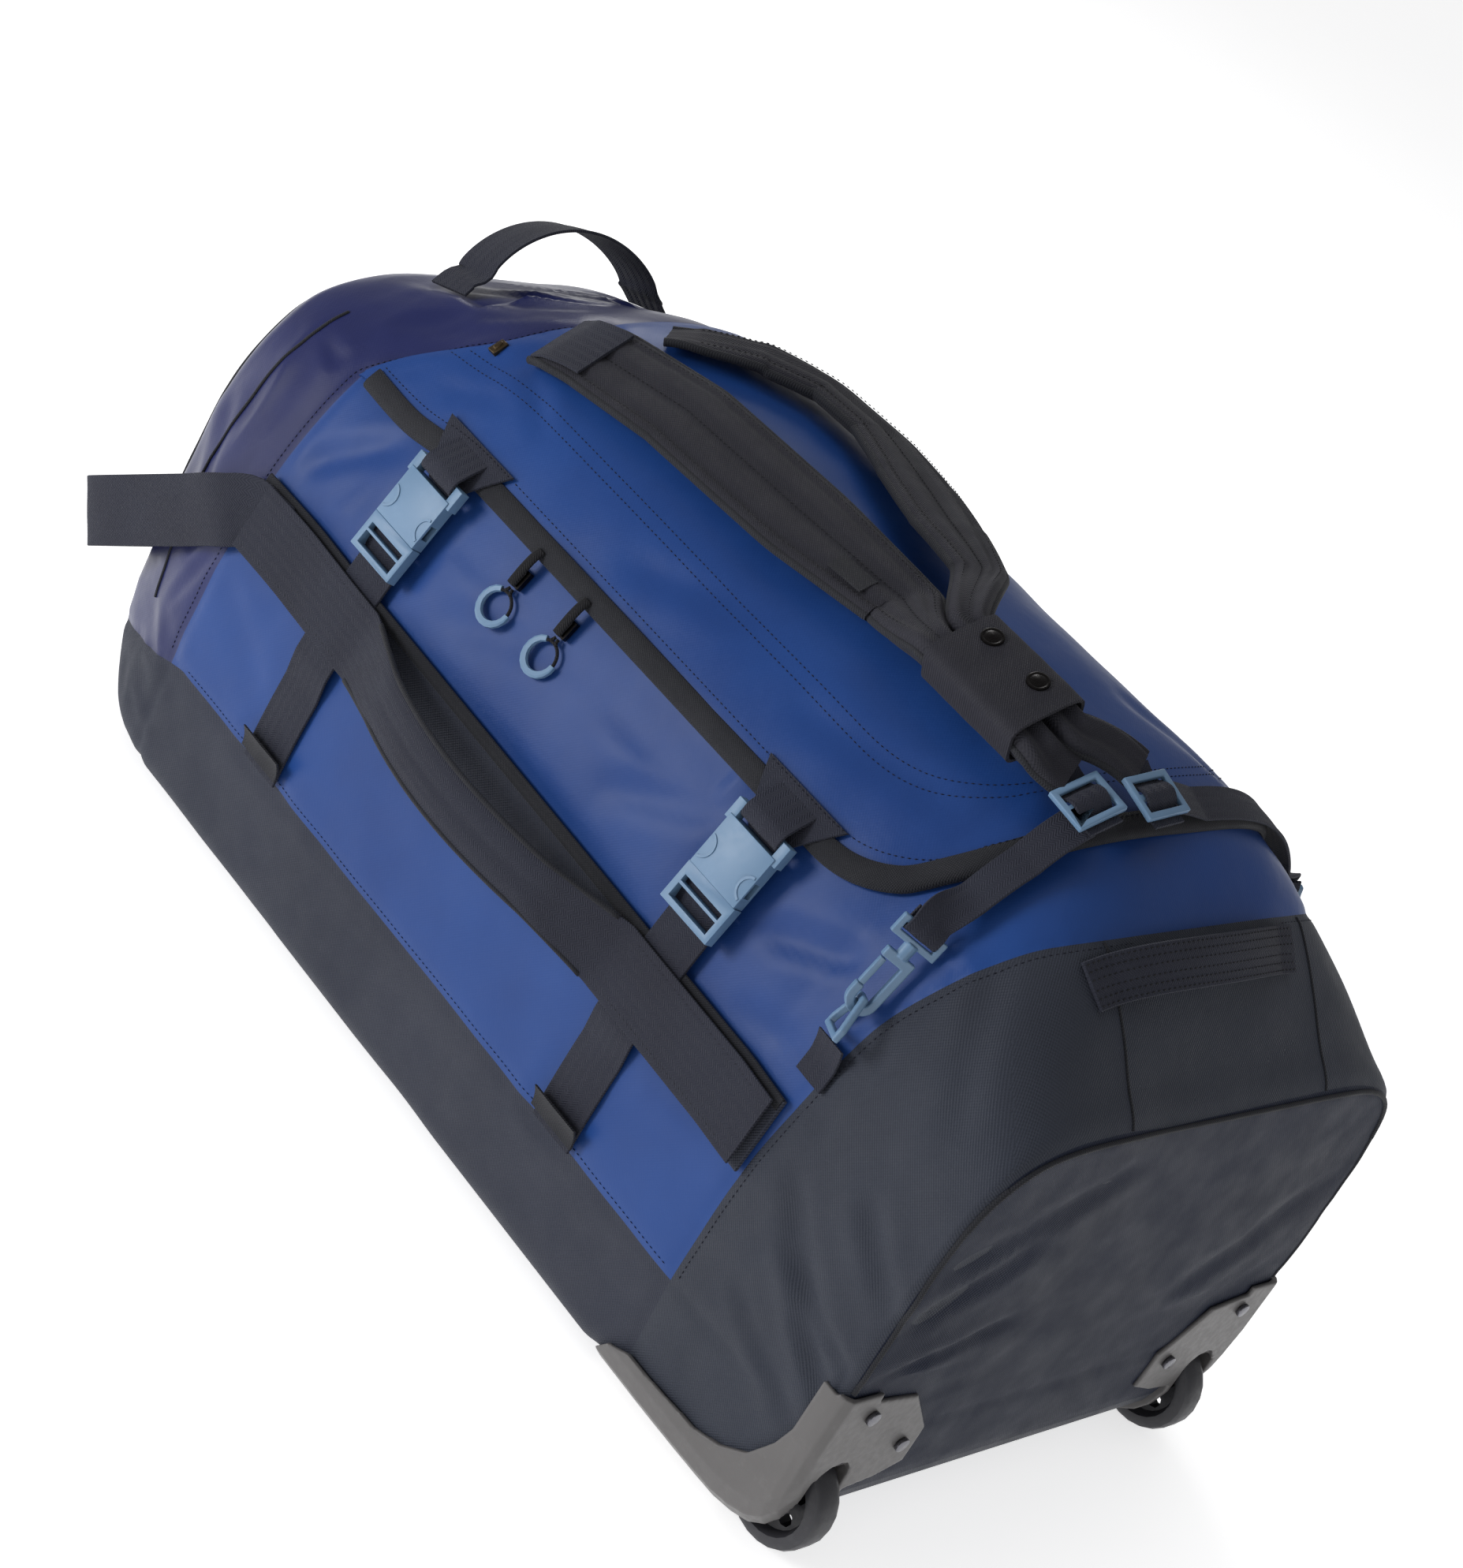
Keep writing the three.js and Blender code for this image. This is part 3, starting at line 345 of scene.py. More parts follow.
BLUE = coated_fabric("blue_coated", colour(28, 62, 122), colour(22, 51, 106))
NAVY = coated_fabric("navy_coated", colour(35, 41, 86), colour(26, 30, 66), rough=(0.27, 0.38))
CHARCOAL = woven_fabric("charcoal_woven", colour(47, 50, 61), colour(40, 43, 53))
BOOT_CLOTH = woven_fabric("boot_woven", colour(46, 50, 60), colour(40, 43, 52), rough=0.56)
END_CLOTH = woven_fabric("end_panel_woven", colour(24, 30, 47), colour(20, 25, 40), rough=0.6, sheen=0.02)
LINING = woven_fabric("lining_woven", colour(70, 74, 84), colour(60, 64, 74), pitch=0.0008, rough=0.6)
STRAP = webbing_material("webbing_charcoal", colour(42, 44, 54), colour(36, 37, 46))
PAD = woven_fabric("pad_woven", colour(37, 37, 44), colour(29, 29, 36), pitch=0.0009, weave=0.7)
TRIM = woven_fabric("trim_black", colour(34, 35, 40), colour(27, 28, 32), pitch=0.0009)
THREAD = woven_fabric("thread_dark", colour(18, 20, 36), colour(14, 15, 28), pitch=0.0005)
THREAD_GREY = woven_fabric("thread_grey", colour(24, 24, 28), colour(18, 18, 22), pitch=0.0005)
LIGHT_BLUE = moulding_material("buckle_blue", colour(94, 123, 152), 0.36, 0.12, 0.15)
GRAPHITE = moulding_material("guard_graphite", colour(88, 86, 86), 0.42, 0.35, 0.25)
WHEEL_DARK = moulding_material("wheel_dark", colour(44, 44, 49), 0.5, 0.3, 0.3)
BOARD = moulding_material("board_black", colour(42, 42, 44), 0.6, 0.5, 0.2)
STEEL = metal_material("plated_steel", colour(120, 120, 126), 0.3)
BLACKENED = metal_material("slider_black", colour(44, 42, 42), 0.3)
BRONZE = metal_material("slider_bronze", colour(96, 82, 62), 0.35)
CORD = webbing_material("cord_black", colour(26, 26, 29), colour(20, 20, 23))

# ------------------------------------------------------------------ mesh helpers


def add_object(name, data):
    """New object in the scene."""
    made = bpy.data.objects.new(name, data)
    bpy.context.scene.collection.objects.link(made)
    return made


def new_piece(name, verts, faces, material, uvs=None, sharp=35, materials=None):
    """Object from vertices in millimetres; uvs is one (u, v) per vertex, in metres."""
    mesh = bpy.data.meshes.new(name)
    places = [tuple(v) for v in np.asarray(verts, float) * MM]
    mesh.from_pydata(places, [], [tuple(int(i) for i in f) for f in faces])
    layer = mesh.uv_layers.new(name="weave")
    if uvs is not None:
        loops = np.empty(len(mesh.loops), np.int32)
        mesh.loops.foreach_get("vertex_index", loops)
        layer.data.foreach_set("uv", np.asarray(uvs, np.float32)[loops].ravel())
    for m in materials or [material]:
        mesh.materials.append(m)
    piece = add_object(name, mesh)
    finish_shading(piece, sharp)
    return piece


def finish_shading(piece, sharp=35):
    mesh = piece.data
    mesh.validate()
    mesh.polygons.foreach_set("use_smooth", [True] * len(mesh.polygons))
    mesh.set_sharp_from_angle(angle=math.radians(sharp))
    mesh.update()


def apply_modifiers(piece):
    """Replaces the piece's mesh by what its modifiers make of it."""
    bpy.context.view_layer.update()
    evaluated = piece.evaluated_get(bpy.context.evaluated_depsgraph_get())
    made = bpy.data.meshes.new_from_object(evaluated)
    old = piece.data
    piece.modifiers.clear()
    piece.data = made
    made.name = piece.name
    bpy.data.meshes.remove(old)
    return piece


def thicken(piece, thick, lining=None, offset=-1.0):
    """Gives a sheet its thickness in millimetres, inwards unless offset says otherwise."""
    if lining is not None:
        piece.data.materials.append(lining)
    solid = piece.modifiers.new("thick", "SOLIDIFY")
    solid.thickness = thick * MM
    solid.offset = offset
    solid.use_even_offset = False
    if lining is not None:
        solid.material_offset = 1
    apply_modifiers(piece)
    finish_shading(piece, 50)
    return piece


def merge(name, pieces):
    """Joins objects into one piece."""
    bm = bmesh.new()
    materials = []
    for piece in pieces:
        start = len(bm.faces)
        bm.from_mesh(piece.data)
        bm.faces.ensure_lookup_table()
        slots = []
        for m in piece.data.materials:
            if m not in materials:
                materials.append(m)
            slots.append(materials.index(m))
        for face in bm.faces[start:]:
            face.material_index = slots[min(face.material_index, len(slots) - 1)] if slots else 0
    mesh = bpy.data.meshes.new(name)
    bm.to_mesh(mesh)
    bm.free()
    for m in materials:
        mesh.materials.append(m)
    for piece in pieces:
        old = piece.data
        bpy.data.objects.remove(piece)
        if old.users == 0:
            bpy.data.meshes.remove(old)
    return add_object(name, mesh)


def sweep(name, frames, profile, material, closed=True, sharp=35, caps=True):
    """Lofts a profile of (across, out) points, or a function giving one, through frames of p, across, n."""
    rings, uvs = [], []
    travelled = 0.0
    for i, f in enumerate(frames):
        points = profile(i) if callable(profile) else profile
        rings.append([f["p"] + a * f["across"] + b * f["n"] for a, b in points])
        if i:
            travelled += np.linalg.norm(f["p"] - frames[i - 1]["p"])
        uvs += [(a * MM, travelled * MM) for a, b in points]
    count = len(rings[0])
    verts = np.array(rings).reshape(-1, 3)
    faces = []
    last = count if closed else count - 1
    for i in range(len(rings) - 1):
        for j in range(last):
            k = (j + 1) % count
            faces.append((i * count + j, i * count + k, (i + 1) * count + k, (i + 1) * count + j))
    if caps and closed:
        faces.append(tuple(range(count - 1, -1, -1)))
        faces.append(tuple(range((len(rings) - 1) * count, len(rings) * count)))
    piece = new_piece(name, verts, faces, material, uvs, sharp)
    bm = bmesh.new()
    bm.from_mesh(piece.data)
    bmesh.ops.recalc_face_normals(bm, faces=bm.faces)
    bm.to_mesh(piece.data)
    bm.free()
    finish_shading(piece, sharp)
    return piece


def strap_profile(width, thick=WEBBING, crown=0.35, points=8):
    """Rounded flat section with slightly raised edges."""
    half, deep = width / 2, thick / 2
    edge = [(half - deep * 0.6 + deep * 0.6 * math.cos(t), deep * math.sin(t))
            for t in np.linspace(-1.3, 1.3, 5)]
    top = [(a, deep + crown * math.cos(3.0 * math.pi * a / width) * 0.4)
           for a in np.linspace(half - 2, 2 - half, points)]
    return edge + top + [(-a, -b) for a, b in edge] + [(-a, -b) for a, b in top]


def smooth_frames(keys, count):
    """Resamples frames evenly along a smooth curve through them."""
    points = np.array([k["p"] for k in keys])
    lengths = np.r_[0, np.cumsum(np.linalg.norm(np.diff(points, axis=0), axis=1))]
    places = np.linspace(0, lengths[-1], count)
    stacked = np.hstack([points, [k["n"] for k in keys], [k["across"] for k in keys]])
    curves = [hermite(lengths, stacked[:, c], np.gradient(stacked[:, c], lengths)) for c in range(9)]
    rows = np.array([curve(places) for curve in curves]).T
    frames = []
    for i, row in enumerate(rows):
        along = unit(rows[min(i + 1, count - 1), :3] - rows[max(i - 1, 0), :3])
        across = row[6:9] - along * np.dot(row[6:9], along)
        across = unit(across)
        n = np.cross(along, across)
        if np.dot(n, row[3:6]) < 0:
            n = -n
        frames.append({"p": row[:3], "n": n, "across": across, "s": places[i]})
    return frames


def stitches(name, rows, material, pitch=4.2, length=3.0, radius=0.42):
    """Rows of thread stitches; each row is (points, normals) in millimetres."""
    verts, faces = [], []
    for points, normals in rows:
        points, normals = np.asarray(points, float), np.asarray(normals, float)
        lengths = np.r_[0, np.cumsum(np.linalg.norm(np.diff(points, axis=0), axis=1))]
        for s in np.arange(pitch / 2, lengths[-1] - pitch / 2, pitch):
            ends = [np.array([np.interp(s + d, lengths, points[:, k]) for k in range(3)])
                    for d in (-length / 2, length / 2)]
            n = unit([np.interp(s, lengths, normals[:, k]) for k in range(3)])
            along = unit(ends[1] - ends[0])
            across = np.cross(n, along)
            middle = (ends[0] + ends[1]) / 2
            base = len(verts)
            verts += [ends[0] - 0.1 * n, middle + radius * across, middle + radius * 1.1 * n,
                      middle - radius * across, middle - radius * n, ends[1] - 0.1 * n]
            for k in range(4):
                here, following = base + 1 + k, base + 1 + (k + 1) % 4
                faces += [(base, following, here), (base + 5, here, following)]
    return new_piece(name, verts, faces, material, [(v[0] * MM, v[1] * MM) for v in verts], 180)


def from_node(name, node, material, bevel=0.6, segments=2, angle=32):
    """Copy of a CAD node with its edges rounded, as a moulding leaves them."""
    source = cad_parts[node]
    bm = bmesh.new()
    bm.from_mesh(source.data)
    bmesh.ops.remove_doubles(bm, verts=bm.verts, dist=1e-6)
    bmesh.ops.dissolve_limit(bm, angle_limit=math.radians(1.0), verts=bm.verts, edges=bm.edges)
    mesh = bpy.data.meshes.new(name)
    bm.to_mesh(mesh)
    bm.free()
    mesh.materials.clear()
    mesh.materials.append(material)
    mesh.uv_layers.new(name="weave")
    piece = add_object(name, mesh)
    rounding = piece.modifiers.new("edges", "BEVEL")
    rounding.width = bevel * MM
    rounding.segments = segments
    rounding.limit_method = "ANGLE"
    rounding.angle_limit = math.radians(angle)
    rounding.harden_normals = False
    apply_modifiers(piece)
    finish_shading(piece, 45)
    return piece


def moulded(name, node, material, voxel, swell=0.0):
    """Copy of a CAD node remeshed and relaxed, so every edge is softly rounded."""
    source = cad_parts[node]
    mesh = source.data.copy()
    mesh.name = name
    piece = add_object(name, mesh)
    remesh = piece.modifiers.new("remesh", "REMESH")
    remesh.mode = "VOXEL"
    remesh.voxel_size = voxel * MM
    relax = piece.modifiers.new("relax", "SMOOTH")
    relax.factor = 0.5
    relax.iterations = 5
    if swell:
        grow = piece.modifiers.new("grow", "DISPLACE")
        grow.strength = swell * MM
        grow.mid_level = 0.0
    thin = piece.modifiers.new("thin", "DECIMATE")
    thin.ratio = 0.6
    apply_modifiers(piece)
    piece.data.materials.clear()
    piece.data.materials.append(material)
    if "weave" not in piece.data.uv_layers:
        piece.data.uv_layers.new(name="weave")
    finish_shading(piece, 60)
    return piece


def ride(piece, body, *nodes, slot="webbing"):
    """Parents a rigid piece to the body it moves with and hides the CAD parts it stands for; the slot
    argument is not used.
    """
    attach(piece, body)
    if nodes:
        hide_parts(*nodes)
    return piece


# ------------------------------------------------------------------ seams as signed functions of a point

BOOT_SEAM = monotone(np.array([-60, 96, 180, 240, 300, 345, 384, 415, 500.0]),
                     np.array([305, 303, 303.5, 308, 314, 328, 346, 368, 376.0]))
CAP_SEAM = monotone(np.array([-60, 332, 350, 380, 401, 421, 439, 500.0]),
                    np.array([-300, -300, -290, -262, -241, -228, -212, -206.0]))


def boot_side(p):
    """Positive on the wheel-end boot's side of its seam."""
    return p[:, 0] - BOOT_SEAM(p[:, 2])


def cap_side(p):
    """Positive on the far-end cap's side of its seam."""
    return CAP_SEAM(p[:, 2]) - p[:, 0]


def gusset_side(p):
    """Positive below the base gusset's seam."""
    edge = np.interp(p[:, 0], [-420, -345, -285, 520], [52, 78, 96, 94])
    return edge - p[:, 2]


def end_face(p):
    """Positive on the wheel-end panel."""
    return p[:, 0] - 440.5


def lid_outline(inset=0.0):
    """Plan of the lid's edge as points, from the far end of the -Y side round to the +Y side."""
    w, near = LID_HALF - inset, LID_NEAR - inset
    t = np.linspace(0, 1, 60)[:, None]

    def bezier(a, b, c, d):
        return (1 - t) ** 3 * a + 3 * t * (1 - t) ** 2 * b + 3 * t ** 2 * (1 - t) * c + t ** 3 * d

    a, b = np.array([near - 110, -w]), np.array([near - 20, -w])
    c, d = np.array([near, -0.72 * w]), np.array([near, 0])
    first = bezier(a, b, c, d)
    straight = np.column_stack([np.linspace(LID_FAR, near - 112, 90), np.full(90, -w)])
    half = np.vstack([straight, first])
    return np.vstack([half, (half * [1, -1])[::-1][1:]])


def plan_distance(points, outline):
    """Signed distance in plan to the lid's outline, positive inside."""
    xy = points[:, :2]
    a, b = outline[:-1], outline[1:]
    best = np.full(len(xy), 1e9)
    for p, q in zip(a, b):
        d = q - p
        t = np.clip(((xy - p) @ d) / max(d @ d, 1e-9), 0, 1)
        best = np.minimum(best, np.linalg.norm(xy - (p + t[:, None] * d), axis=1))
    w, near = np.abs(outline[0, 1]), outline[:, 0].max()
    edge = np.interp(xy[:, 0], outline[:len(outline) // 2 + 1, 0], np.abs(outline[:len(outline) // 2 + 1, 1]))
    inside = (np.abs(xy[:, 1]) < edge) & (xy[:, 0] < near)
    return np.where(inside, best, -best)


# ------------------------------------------------------------------ the sewn skin


BASE_POINTS, CORNER_POINTS, WALL_POINTS, ARCH_POINTS = 20, 8, 12, 92
BASE_CORNER, WALL_LEAN = 24, 3


def half_ring(x):
    """Half of the bag's cross-section at x, from the middle of the base to the crown."""
    half, under, crown, square = half_at(x), under_at(x), crown_at(x), square_at(x)
    corner = min(BASE_CORNER, (SEAM_HEIGHT - under) * 0.8)
    inner = half - WALL_LEAN - corner
    flat = [(y, under) for y in np.linspace(0, inner, BASE_POINTS, endpoint=False)]
    turn = [(inner + corner * math.sin(t), under + corner * (1 - math.cos(t)))
            for t in np.linspace(0, math.pi / 2, CORNER_POINTS, endpoint=False)]
    low = np.array([half - WALL_LEAN, under + corner])
    high = np.array([half, SEAM_HEIGHT])
    upright = [tuple(low + (high - low) * t) for t in np.linspace(0, 1, WALL_POINTS, endpoint=False)]
    angle = np.linspace(0, math.pi / 2, 500)
    y = half * np.cos(angle) ** (2 / square)
    z = SEAM_HEIGHT + (crown - SEAM_HEIGHT) * np.sin(angle) ** (2 / (square * 0.85))
    y[-1] = 0
    lengths = np.r_[0, np.cumsum(np.hypot(np.diff(y), np.diff(z)))]
    places = np.linspace(0, lengths[-1], ARCH_POINTS)
    bow = np.column_stack([np.interp(places, lengths, y), np.interp(places, lengths, z)])
    return np.vstack([flat, turn, upright, bow])


def fold(points, start, end, width, depth):
    """Crease along a line: a valley with raised shoulders that fades out at both ends."""
    a, b = np.array(start, float), np.array(end, float)
    along = b - a
    t = ((points - a) @ along) / (along @ along)
    foot = a + np.clip(t, 0, 1)[:, None] * along
    d = np.linalg.norm(points - foot, axis=1) / width
    fade = np.clip(1.25 - np.abs(2 * t - 1) ** 2.5, 0, 1) * np.exp(-np.maximum(0, np.abs(2 * t - 1) - 1) * 3)
    return depth * fade * (1 - 1.2 * d ** 2) * np.exp(-d ** 2)


FOLDS = [
    # navy cap, near the corner of the lid and behind the haul handle
    ((-330, -120, 392), (-240, -70, 432), 9, -4.0), ((-345, -90, 384), (-262, -25, 427), 8, -3.5),
    ((-300, -168, 350), (-262, -122, 398), 8, -3.5), ((-312, -60, 404), (-238, 10, 444), 7, -3.0),
    ((-372, -150, 330), (-318, -172, 330), 9, -3.5), ((-352, 30, 388), (-262, 70, 425), 9, -3.5),
    ((-380, -188, 260), (-330, -206, 160), 12, -4.0), ((-392, -170, 250), (-352, -196, 120), 9, -3.0),
    ((-320, 110, 390), (-262, 60, 425), 8, -3.0), ((-330, -210, 120), (-306, -214, 186), 8, -3.0),
    # lid, soft drag lines towards the straps and the hinge
    ((-228, -120, 414), (-150, -146, 392), 12, -3.0), ((-232, -60, 440), (-128, -104, 428), 12, -2.5),
    ((-40, -150, 372), (60, -128, 402), 16, -1.6), ((120, -140, 384), (250, -120, 400), 16, -2.0),
    ((262, -60, 443), (300, -104, 405), 12, -2.0), ((200, 40, 450), (290, 80, 430), 14, -2.0),
    # side panels
    ((-286, -196, 270), (-230, -176, 330), 14, -2.5), ((-120, -199, 268), (-20, -186, 318), 20, -2.0),
    ((60, -196, 276), (150, -182, 326), 16, -2.2), ((210, -192, 290), (296, -180, 330), 14, -3.0),
    ((230, -205, 250), (300, -198, 262), 12, -2.5), ((-292, -212, 176), (-200, -216, 130), 18, -1.8),
    ((-60, -217, 130), (90, -215, 160), 24, -1.5), ((150, -217, 120), (290, -213, 170), 20, -2.2),
    # boot side and end panel, crumpled low on the -Y edge
    ((330, -215, 215), (432, -214, 118), 13, -4.5), ((352, -214, 176), (438, -213, 150), 9, -4.0),
    ((342, -214, 130), (420, -214, 96), 10, -4.0), ((380, -214, 240), (440, -212, 196), 12, -4.0),
    ((443, -205, 190), (443, -120, 250), 13, -4.5), ((443, -206, 150), (443, -96, 178), 10, -4.0),
    ((443, -200, 232), (443, -60, 300), 15, -3.5), ((443, -190, 110), (443, -60, 140), 16, -3.0),
    ((443, 60, 150), (443, 190, 240), 18, -3.0), ((443, 30, 90), (443, 190, 150), 18, -3.0),
    ((338, -150, 372), (400, -196, 300), 14, -3.5), ((330, 200, 200), (430, 212, 150), 13, -3.5),
    ((350, 214, 250), (436, 212, 200), 12, -4.0),
]
FOLDS += [((x0, -y0, z0), (x1, -y1, z1), w, d) for (x0, y0, z0), (x1, y1, z1), w, d in FOLDS[10:20]]


def crumple(points, centre, reach, along, pitch, height):
    """Sharp irregular wrinkles round a place, stretched along one direction."""
    distance = np.linalg.norm((points - centre) / reach, axis=1)
    fade = np.clip(1.4 - distance, 0, 1) ** 1.5
    direction = unit(along)
    out = np.zeros(len(points))
    for i in np.nonzero(fade > 0)[0]:
        p = points[i]
        p = p - direction * np.dot(p, direction) * 0.72
        warp = noise.noise(Vector(p) / (pitch * 2.5)) * pitch * 0.6
        value = abs(noise.noise((Vector(p) + Vector((warp, -warp, warp))) / pitch))
        out[i] = height * (0.32 - value) * 2
    return out * fade


# Centre, reach, direction of the wrinkles, their pitch and their height.
CRUMPLES = [
    ((-290, -110, 395), (75, 95, 60), (0.7, 0.6, 0.35), 26, 4.2),
    ((-330, 10, 392), (60, 150, 40), (0.4, 1.0, 0.1), 30, 3.0),
    ((-352, -185, 230), (50, 40, 130), (0.2, 0.3, 1.0), 34, 3.0),
    ((-352, 185, 230), (50, 40, 130), (0.2, -0.3, 1.0), 34, 3.0),
    ((-225, -128, 400), (45, 50, 40), (0.8, 0.4, 0.3), 24, 2.2),
    ((-246, -205, 250), (40, 40, 90), (0.3, 0.1, 1.0), 30, 1.6),
    ((390, -214, 140), (55, 40, 75), (0.9, 0.1, -0.5), 30, 3.6),
    ((443, -170, 165), (40, 70, 75), (0.1, 0.9, 0.5), 38, 2.8),
    ((443, 120, 130), (40, 90, 90), (0.1, 0.9, 0.4), 46, 1.8),
    ((395, 205, 210), (50, 50, 90), (0.8, 0.1, -0.5), 34, 3.0),
    ((300, -20, 440), (45, 130, 40), (0.3, 1.0, 0.1), 34, 2.0),
    ((-330, -212, 70), (60, 40, 60), (0.9, 0.1, -0.4), 34, 3.4),
    ((-330, 212, 70), (60, 40, 60), (0.9, -0.1, -0.4), 34, 3.4),
]


def relief(points):
    """How far the soft fabric stands from its ideal shape."""
    out = np.zeros(len(points))
    for start, end, width, depth in FOLDS:
        out += fold(points, start, end, width, depth)
    for centre, reach, along, pitch, height in CRUMPLES:
        out += crumple(points, centre, reach, along, pitch, height)
    soft = np.array([noise.noise(Vector(p) / 105.0) * 2.4
                     + noise.noise(Vector((p[0] + 900, p[1], p[2])) / 42.0) * 0.9 for p in points])
    return out + soft


def rail_top(x):
    """Height of the corner guard's upper edge."""
    return np.interp(x, [279, 289, 306, 330, 370, 390, 408, 420, 428, 433, 438],
                     [13, 26, 34, 35, 38, 45, 58, 80, 108, 131, 140])


def under_hardware(points):
    """1 where something lies on the fabric and it must not bulge, falling to 0 around it."""
    x, y, z = points.T
    side = np.abs(y) > 150
    cover = np.zeros(len(points))

    def region(distance, soft=14.0):
        nonlocal cover
        cover = np.maximum(cover, np.clip(1 - distance / soft, 0, 1))

    middle = 218 - 0.025 * x
    region(np.where(side & (x > -320) & (x < 312), np.maximum(0, np.abs(z - middle) - 28), 99))
    for strap in (-STRAP_X, STRAP_X):
        region(np.where(side & (z > 88) & (z < 356), np.maximum(0, np.abs(x - strap) - 24), 99))
    region(np.where((x > 275), np.maximum(0, z - rail_top(x) - 2), 99))
    region(np.where((x > 430) & (z < 150) & (np.abs(y) > 105), 0, 99))
    region(np.where((np.abs(x - HOOK_X) < 30) & (z > 240) & (z < 360), 0, 99))
    region(np.where(z < 30, np.maximum(0, z - 12), 99))
    zip_run = (y < -150) & (x > -145) & (x < 128)
    region(np.where(zip_run, np.maximum(0, np.abs(z - ZIP_HEIGHT) - 12), 99))
    region(np.where((np.abs(x - HAUL_X) < 34) & (np.abs(y) > 60) & (np.abs(y) < 100) & (z > 300), 0, 99))
    return cover


def skin_points():
    """Grid of the whole closed skin: rings along the bag, then the two end faces."""
    xs = np.unique(np.concatenate([
        np.linspace(FAR_X, -380, 9), np.linspace(-380, -240, 42), np.linspace(-240, 400, 146),
        np.linspace(400, END_X, 17)]))
    rings = []
    for x in xs:
        right = half_ring(x)
        left = (right[1:-1] * [-1, 1])[::-1]
        ring = np.vstack([right, left])
        rings.append(np.column_stack([np.full(len(ring), x), ring]))

    def end_rings(ring, sign, bulge):
        centre = np.array([ring[0, 0], 0, (ring[:, 2].min() + ring[:, 2].max()) / 2])
        made = []
        for s in np.linspace(1, 0, 34)[1:-1]:
            scaled = centre + (ring - centre) * s
            scaled[:, 0] += sign * bulge * (1 - s ** 2.5)
            made.append(scaled)
        return made

    first = end_rings(rings[0], -1, 6.0)[::-1]
    last = end_rings(rings[-1], 1, 3.0)
    return first + rings + last


def build_skin():
    """The closed skin as a bmesh of quads, with a face closing each end."""
    rings = skin_points()
    count = len(rings[0])
    points = np.vstack(rings)
    bm = bmesh.new()
    for p in points:
        bm.verts.new(tuple(p))
    bm.verts.ensure_lookup_table()
    for i in range(len(rings) - 1):
        for j in range(count):
            k = (j + 1) % count
            bm.faces.new([bm.verts[i * count + j], bm.verts[i * count + k],
                          bm.verts[(i + 1) * count + k], bm.verts[(i + 1) * count + j]])
    for i, flip in ((0, False), (len(rings) - 1, True)):
        loop = [bm.verts[i * count + j] for j in range(count)]
        bm.faces.new(loop if flip else loop[::-1])
    bmesh.ops.recalc_face_normals(bm, faces=bm.faces)
    bm.normal_update()
    return bm


SEAM_DEPTH = 1.6
DEEPEST, HIGHEST = -9, 4.5  # how far the cloth may stand in and out
LOWEST = 0.15


def seam_pinch(points):
    """Valley along every sewn seam."""
    total = np.zeros(len(points))
    for distance in (boot_side(points), cap_side(points), gusset_side(points)):
        total = np.maximum(total, np.exp(-(distance / 5.0) ** 2))
    return total


def shape_fabric(bm):
    """Moves each vertex along its normal by the fabric's relief."""
    points = np.array([v.co for v in bm.verts])
    normals = np.array([v.normal for v in bm.verts])
    amount = relief(points)
    cover = under_hardware(points)
    amount = np.where(amount > 0, amount * (1 - cover), amount * (1 - 0.6 * cover)) - 0.6 * cover
    amount -= SEAM_DEPTH * seam_pinch(points)
    wheel = np.hypot(points[:, 0] - WHEEL_X, points[:, 2] - WHEEL_RADIUS)
    amount *= np.clip((wheel - HOUSE_RADIUS - 2) / 25, 0, 1)
    amount = np.clip(amount, DEEPEST, HIGHEST)
    moved = points + normals * amount[:, None]
    moved[:, 2] = np.maximum(moved[:, 2], LOWEST)
    for v, p in zip(bm.verts, moved):
        v.co = tuple(p)
    bm.normal_update()


def cut_away(bm, values_of, keep_positive=True):
    """Cuts the mesh along the zero line of a signed function and keeps one side."""
    points = np.array([v.co for v in bm.verts])
    values = values_of(points)
    values[np.abs(values) < 1e-3] = 1e-3
    if not keep_positive:
        values = -values
    bm.verts.index_update()
    value = dict(zip(bm.verts, values))
    crossing = [e for e in bm.edges if value[e.verts[0]] * value[e.verts[1]] < 0]
    fresh = set()
    for e in crossing:
        a, b = e.verts
        t = value[a] / (value[a] - value[b])
        _, v = bmesh.utils.edge_split(e, a, t)
        value[v] = 0.0
        fresh.add(v)
    for face in {f for v in fresh for f in v.link_faces}:
        on_line = [v for v in face.verts if v in fresh]
        if len(on_line) == 2:
            bmesh.utils.face_split(face, on_line[0], on_line[1])
        elif len(on_line) == 4:
            bmesh.ops.connect_verts(bm, verts=on_line)
    gone = [f for f in bm.faces if sum(value.get(v, 0.0) for v in f.verts) < 0]
    bmesh.ops.delete(bm, geom=gone, context="FACES")
    loose = [v for v in bm.verts if not v.link_faces]
    bmesh.ops.delete(bm, geom=loose, context="VERTS")
    bm.normal_update()


def write_weave(mesh):
    """UVs in metres from the shape: along the bag, and round or across it."""
    layer = mesh.uv_layers.get("weave") or mesh.uv_layers.new(name="weave")
    co = np.array([v.co for v in mesh.vertices])
    normals = np.array([p.normal for p in mesh.polygons])
    for poly, n in zip(mesh.polygons, normals):
        ax, ay, az = np.abs(n)
        first, second = ((1, 2) if ax > max(ay, az) else (0, 2) if ay > az else (0, 1))
        for loop in poly.loop_indices:
            p = co[mesh.loops[loop].vertex_index]
            layer.data[loop].uv = (p[first], p[second])


def skin_piece(name, bm, material, thick=2.4, lining=None):
    mesh = bpy.data.meshes.new(name)
    bmesh.ops.scale(bm, vec=(MM, MM, MM), verts=bm.verts)
    bm.to_mesh(mesh)
    bm.free()
    mesh.materials.append(material)
    piece = add_object(name, mesh)
    write_weave(mesh)
    finish_shading(piece, 60)
    thicken(piece, thick, lining)
    return piece


